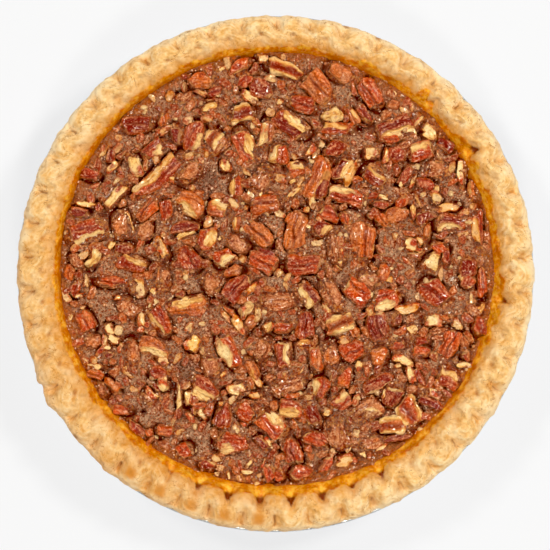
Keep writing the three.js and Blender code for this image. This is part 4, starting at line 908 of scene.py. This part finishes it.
def custard_shape():
    """Points, faces and marks of the custard's skin, on a square grid cut off at its round edge."""
    count = int(2 * (CUSTARD_REACH + 0.1) / CUSTARD_CELL)
    step = (np.arange(count) - (count - 1) / 2) * CUSTARD_CELL
    x, y = np.meshgrid(step + RING_CENTRE[0], step + RING_CENTRE[1], indexing="ij")
    out = np.hypot(x - RING_CENTRE[0], y - RING_CENTRE[1])
    flat = np.stack([x.ravel(), y.ravel(), 0 * x.ravel()], axis=1)
    level = custard_level(x, y)
    height = level + (0.5 * lumps(flat, 15.0, 71, 2) + 0.55 * lumps(flat, 4.6, 72, 2)
                      + 0.26 * lumps(flat, 1.9, 73, 2)).reshape(x.shape)

    # Round each nut the custard climbs, and darkens partly with syrup and partly with painted shade. Beside
    # the larger ones it has shrunk away on one side, into a gap painted dark as shade.
    climb, dark, cleft, shade, burnt = (np.zeros(x.shape) for _ in range(5))
    nuts = [row[:5] + (row[6],) for row in LARGE_PECANS]
    nuts += [row for rows in SMALL_PECANS.values() for row in rows]
    random = np.random.default_rng(12)
    for px, py, length, width, turn, tone in nuts:
        near = length / 2 + 6
        here = tuple(slice(*np.searchsorted(step + middle, [p - near, p + near]))
                     for p, middle in zip((px, py), RING_CENTRE))
        along, across = along_across(x[here] - px, y[here] - py, turn)
        q = ((np.abs(along) * 2 / length) ** 2.7 + (np.abs(across) * 2 / width) ** 2.7) ** (1 / 2.7)
        beside = (q - 1) * width / 2 * 1.15
        rise = (1.5 if tone == "c" else 0.8) * min(1.0, width / 6)
        climb[here] = np.maximum(climb[here], rise * np.exp(-np.clip(beside, 0, None) / 0.9))
        dark[here] = np.maximum(dark[here], np.exp(-(np.clip(beside, 0, None) / 1.4) ** 1.5))
        if length * width > 22:
            way = random.uniform(0, 2 * math.pi)
            facing = smooth_step(-0.35, 0.7, np.cos(np.arctan2(across * length / width, along) - way))
            gap = np.exp(-((beside - 0.55) / 0.75) ** 2) * facing * random.uniform(0.45, 1.3)
            shade[here] = np.maximum(shade[here], gap)
    for px, py, length, width, turn in CUSTARD_CLEFTS:
        along, across = along_across(x - px, y - py, turn)
        cleft = np.maximum(cleft, np.exp(-((along / (length / 2)) ** 4 + (across / (width / 2)) ** 2)))
    cleft = np.maximum(cleft, np.clip(shade, 0, 0.95))
    height = height + climb - CLEFT_DEPTH * cleft
    ragged = lumps(flat, 5.0, 75, 2).reshape(x.shape)
    height = height + (0.5 + 0.8 * ragged) * smooth_step(96, 101, out) - 1.0 * smooth_step(101.2, 103, out)
    for px, py, radius in BURNT_FROTH:
        burnt = np.maximum(burnt, smooth_step(1.25, 0.55, np.hypot(x - px, y - py) / radius + 0.35 * ragged))
    edge = smooth_step(95.5, 101.0, out + 2.5 * lumps(flat, 4.0, 74, 2).reshape(x.shape))

    keep = out < CUSTARD_REACH
    number = np.full(x.shape, -1)
    number[keep] = np.arange(keep.sum())
    corners = np.stack([number[:-1, :-1], number[1:, :-1], number[1:, 1:], number[:-1, 1:]], axis=2)
    corners = corners.reshape(-1, 4)
    points = np.stack([x[keep], y[keep], height[keep]], axis=1)
    marks = {"cleft": cleft[keep], "edge": edge[keep], "syrupy_and_shaded": dark[keep], "burnt": burnt[keep]}
    return points, corners[(corners >= 0).all(axis=1)], marks


def custard_material():
    """Baked custard: brown and frothy, with a sticky sheen that glints on every small bubble. Its films are
    painted pale as glints, and it is painted darker as shade near the nuts and in its clefts.
    """
    material, tree, shader = new_material("Pecan custard, set")
    mark = read_marks(tree, "cleft", "edge", "burnt", "syrupy_and_shaded")
    patches = speckle(tree, 6.0, detail=4, roughness=0.6)
    froth = speckle(tree, 1.4, detail=4, roughness=0.7)
    # Films between open bubbles 1.6 mm across: the walls of a honeycomb bent by a noise, in places,
    # painted pale as glints, and raised in the bump.
    where = add(tree, "ShaderNodeTexCoord").outputs["Object"]
    noise = add(tree, "ShaderNodeTexNoise", {"Vector": where, "Scale": 600.0, "Detail": 3.0})
    swirl = add(tree, "ShaderNodeVectorMath", {0: noise.outputs["Color"], "Scale": 0.0026},
                operation="SCALE")
    warped = add(tree, "ShaderNodeVectorMath", {0: where, 1: swirl.outputs[0]}, operation="ADD").outputs[0]
    cells = add(tree, "ShaderNodeTexVoronoi", {"Vector": warped, "Scale": 1000 / 1.6},
                feature="DISTANCE_TO_EDGE")
    walls = add(tree, "ShaderNodeMapRange", {
        "Value": cells.outputs["Distance"], "From Min": 0.0, "From Max": 0.2, "To Min": 0.8, "To Max": 0.0})
    open_froth = add(tree, "ShaderNodeMapRange", {"Value": patches, "From Min": 0.34, "From Max": 0.5})
    films_and_painted_glints = add(tree, "ShaderNodeMath", {0: walls.outputs[0], 1: open_froth.outputs[0]},
                operation="MULTIPLY").outputs[0]
    # The films are painted glints; the syrupy layer is part painted shade; the cleft layer is painted shade.
    skin = paint(
        tree, (patches, [(0.34, "7E1C00"), (0.5, "AA5426"), (0.66, "CC8A64")]),
        (speckle(tree, 9.0, detail=3), 0.48, 0.62, 0.3, "B6805B"),
        (0.68, (froth, [(0.38, "560C00"), (0.5, "9A4618"), (0.61, "F8C29F")])),
        (films_and_painted_glints, "F8CCAD"),
        (mark["burnt"], 0.6, (froth, [(0.4, "3A0C02"), (0.5, "6A2E20"), (0.64, "CC9C88")])),
        (mark["edge"], 0.7, "B8601A"),
        (mark["syrupy_and_shaded"], 0.7, (speckle(tree, 2.0, detail=3), [(0.4, "6E1600"), (0.5, "A03E0A"),
                                                              (0.62, "DC904A")])),
        (mark["cleft"], "761000"))
    feed(tree, shader, {
        "Base Color": skin, "Roughness": 0.35, "Specular IOR Level": 0.04, "Coat Weight": 0.25,
        "Coat Roughness": 0.08, "Coat Tint": (1.0, 0.84, 0.64, 1.0),
        "Normal": relief(tree, films_and_painted_glints, froth, 1.0, 1.2)})
    return material


points, faces, marks = custard_shape()
custard = make_piece("custard_set", points, faces, custard_material(), marks)
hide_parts("filling")

# ---- Bubbles and crumbs --------------------------------------------------------------------------
# Air that rose through the custard and set as small domes in its skin, and crumbs of pecan that
# floated up with it. Both lie all over its surface, up to its edge.

BUBBLES_PER_SQUARE_CM = 20.0
CRUMBS_PER_SQUARE_CM = 1.3


def scatter(name, ground, material, per_square_cm, sizes_mm, sink, rough_mm, fineness, seed):
    """Balls of mixed sizes strewn over the ground piece with a Geometry Nodes tree, as a plain mesh."""
    tree = bpy.data.node_groups.new(name, "GeometryNodeTree")
    for label, kind in (("Ground", "Geometry"), ("Per square metre", "Float"), ("Smallest", "Float"),
                        ("Largest", "Float"), ("Sink", "Float"), ("Roughness", "Float"), ("Seed", "Int"),
                        ("Material", "Material")):
        tree.interface.new_socket(label, in_out="INPUT", socket_type="NodeSocket" + kind)
    tree.interface.new_socket("Balls", in_out="OUTPUT", socket_type="NodeSocketGeometry")
    given = add(tree, "NodeGroupInput").outputs
    seeded = {"Seed": given["Seed"]}
    strewn = add(tree, "GeometryNodeDistributePointsOnFaces", {
        "Mesh": given["Ground"], "Density": given["Per square metre"], **seeded})
    size = add(tree, "FunctionNodeRandomValue", {2: given["Smallest"], 3: given["Largest"], **seeded},
               data_type="FLOAT")
    down = add(tree, "ShaderNodeMath", {0: size.outputs[1], 1: given["Sink"]}, operation="MULTIPLY")
    lowered = add(tree, "ShaderNodeCombineXYZ", {"Z": down.outputs[0]})
    settled = add(tree, "GeometryNodeSetPosition", {
        "Geometry": strewn.outputs["Points"], "Offset": lowered.outputs[0]})
    ball_mesh = add(tree, "GeometryNodeMeshIcoSphere", {"Radius": 1.0, "Subdivisions": fineness})
    turned = add(tree, "FunctionNodeRandomValue", {1: (6.3, 6.3, 6.3), **seeded}, data_type="FLOAT_VECTOR")
    squash = add(tree, "FunctionNodeRandomValue", {0: (0.6, 0.6, 0.6), 1: (1.4, 1.4, 1.4), **seeded},
                 data_type="FLOAT_VECTOR")
    scaled = add(tree, "ShaderNodeVectorMath", {0: squash.outputs[0], "Scale": size.outputs[1]},
                 operation="SCALE")
    balls = add(tree, "GeometryNodeInstanceOnPoints", {
        "Points": settled.outputs[0], "Instance": ball_mesh.outputs["Mesh"],
        "Rotation": turned.outputs[0], "Scale": scaled.outputs[0]})
    shade = add(tree, "FunctionNodeRandomValue", seeded, data_type="FLOAT")
    toned = add(tree, "GeometryNodeStoreNamedAttribute", {
        "Geometry": balls.outputs[0], "Name": "shade", "Value": shade.outputs[1]},
        data_type="FLOAT", domain="INSTANCE")
    real = add(tree, "GeometryNodeRealizeInstances", {"Geometry": toned.outputs[0]})
    # Dents and bumps about 1.5 mm apart.
    uneven = add(tree, "ShaderNodeTexNoise", {"Scale": 650.0, "Detail": 1.0})
    raised = add(tree, "ShaderNodeMath", {0: uneven.outputs["Fac"], 1: 0.5}, operation="SUBTRACT")
    raised = add(tree, "ShaderNodeMath", {0: raised.outputs[0], 1: given["Roughness"]}, operation="MULTIPLY")
    normal = add(tree, "GeometryNodeInputNormal").outputs[0]
    outwards = add(tree, "ShaderNodeVectorMath", {0: normal, "Scale": raised.outputs[0]}, operation="SCALE")
    broken = add(tree, "GeometryNodeSetPosition", {
        "Geometry": real.outputs[0], "Offset": outwards.outputs[0]})
    covered = add(tree, "GeometryNodeSetMaterial", {
        "Geometry": broken.outputs[0], "Material": given["Material"]})
    smooth = add(tree, "GeometryNodeSetShadeSmooth", {"Geometry": covered.outputs[0]})
    add(tree, "NodeGroupOutput", {"Balls": smooth.outputs[0]})

    carrier = bpy.data.objects.new(name + "_carrier", ground.data.copy())
    bpy.context.scene.collection.objects.link(carrier)
    modifier = carrier.modifiers.new("Scatter", "NODES")
    modifier.node_group = tree
    values = {"Per square metre": per_square_cm * 1e4, "Smallest": sizes_mm[0] * 0.001,
              "Largest": sizes_mm[1] * 0.001, "Sink": sink, "Roughness": rough_mm * 0.001,
              "Seed": seed, "Material": material}
    for item in tree.interface.items_tree:
        if item.in_out == "INPUT" and item.name in values:
            modifier[item.identifier] = values[item.name]
    bpy.context.view_layer.update()
    depsgraph = bpy.context.evaluated_depsgraph_get()
    mesh = bpy.data.meshes.new_from_object(carrier.evaluated_get(depsgraph))
    bpy.data.objects.remove(carrier)
    place_piece(name, mesh)


def bubble_material():
    """Set froth: shiny domes, from syrup brown to pale; the palest are a painted glint."""
    material, tree, shader = new_material("Custard froth")
    shade = read_marks(tree, "shade")["shade"]
    tone = paint(tree, (shade, [(0.0, "822606"), (0.4, "A4562A"), (0.75, "C08460"), (1.0, "F4CCAC")]))
    feed(tree, shader, {"Base Color": tone, "Roughness": 0.25, "Coat Weight": 0.6, "Coat Roughness": 0.05})
    return material


def crumb_material():
    """Crumbs of pecan: cream meat, orange glaze and red-brown skin."""
    material, tree, shader = new_material("Pecan crumbs, glazed")
    shade = read_marks(tree, "shade")["shade"]
    grain = speckle(tree, 0.9, detail=3)
    tone = paint(
        tree, (shade, [(0.0, "7C260E"), (0.3, "B8441A"), (0.55, "C4702A"), (0.8, "A8603A"),
                       (1.0, "F0CB90")]),
        (0.35, (grain, [(0.35, "8A4018"), (0.65, "F2CC98")])))
    feed(tree, shader, {"Base Color": tone, "Roughness": 0.35, "Coat Weight": 0.3})
    return material


scatter("custard_bubbles", custard, bubble_material(), BUBBLES_PER_SQUARE_CM,
        sizes_mm=(0.2, 0.55), sink=-0.3, rough_mm=0.0, fineness=1, seed=4)
scatter("pecan_crumbs", custard, crumb_material(), CRUMBS_PER_SQUARE_CM,
        sizes_mm=(0.4, 1.2), sink=-0.1, rough_mm=2.4, fineness=2, seed=9)

# ---- Floor, light and camera ---------------------------------------------------------------------
# A white sheet lit from below, three soft lights, and white walls all round. Lengths are in metres.

FLOOR_SIDE = 6.0
SOFTBOX_SIDE = 0.28
CAMERA_PLACE = (-0.00026, -0.00043)
CAMERA_HEIGHT = 0.95
SENSOR_WIDTH = 36
# Width of the view, in metres, at the height of the pie's top.
VIEW_WIDTH = 0.2589
PIE_TOP = 0.034

bpy.ops.mesh.primitive_plane_add(size=FLOOR_SIDE)
floor = bpy.context.active_object
floor.name = "floor_sheet"
material, tree, shader = new_material("White acrylic sheet, lit from below")
feed(tree, shader, {
    "Base Color": (0.20, 0.207, 0.24, 1), "Roughness": 0.9, "Specular IOR Level": 0.0,
    "Emission Color": (1, 1, 1, 1), "Emission Strength": 0.705})
floor.data.materials.append(material)

# White walls brightest half way up, with a dim opening overhead for the camera.
world = bpy.data.worlds.new("Studio")
bpy.context.scene.world = world
world.use_nodes = True
tree = world.node_tree
toward = add(tree, "ShaderNodeTexCoord").outputs["Generated"]
upward = add(tree, "ShaderNodeSeparateXYZ", {"Vector": toward}).outputs["Z"]
walls = paint(tree, (upward, [(0.0, "B0ACA0"), (0.35, "FFFBEA"), (0.62, "FFFBEA"), (0.8, "605E56")]))
feed(tree, tree.nodes["Background"], {"Color": walls, "Strength": 0.32})

for name, place, power in (("softbox_right", (0.9, 0.5, 1.3), 15.1),
                           ("softbox_left", (-0.8, 0.6, 1.3), 10.8),
                           ("softbox_front", (0.1, -0.9, 1.3), 9.1)):
    light = bpy.data.lights.new(name, "AREA")
    light.shape = "SQUARE"
    light.size = SOFTBOX_SIDE
    light.energy = power
    light.color = (1.0, 0.96, 0.82)
    lamp = bpy.data.objects.new(name, light)
    bpy.context.scene.collection.objects.link(lamp)
    lamp.location = place
    lamp.rotation_euler = (-lamp.location).to_track_quat("-Z", "Y").to_euler()

camera_data = bpy.data.cameras.new("overhead")
camera = bpy.data.objects.new("overhead", camera_data)
bpy.context.scene.collection.objects.link(camera)
camera.location = (*CAMERA_PLACE, CAMERA_HEIGHT)
camera.rotation_euler = (0, 0, 0)
camera_data.sensor_width = SENSOR_WIDTH
camera_data.lens = SENSOR_WIDTH * (CAMERA_HEIGHT - PIE_TOP) / VIEW_WIDTH
camera_data.clip_end = 20
bpy.context.scene.camera = camera
view = bpy.context.scene.view_settings
view.view_transform = "Standard"
# Deepest shadow prints as black.
view.use_curve_mapping = True
view.curve_mapping.black_level = (0.005, 0.005, 0.005)
view.curve_mapping.update()
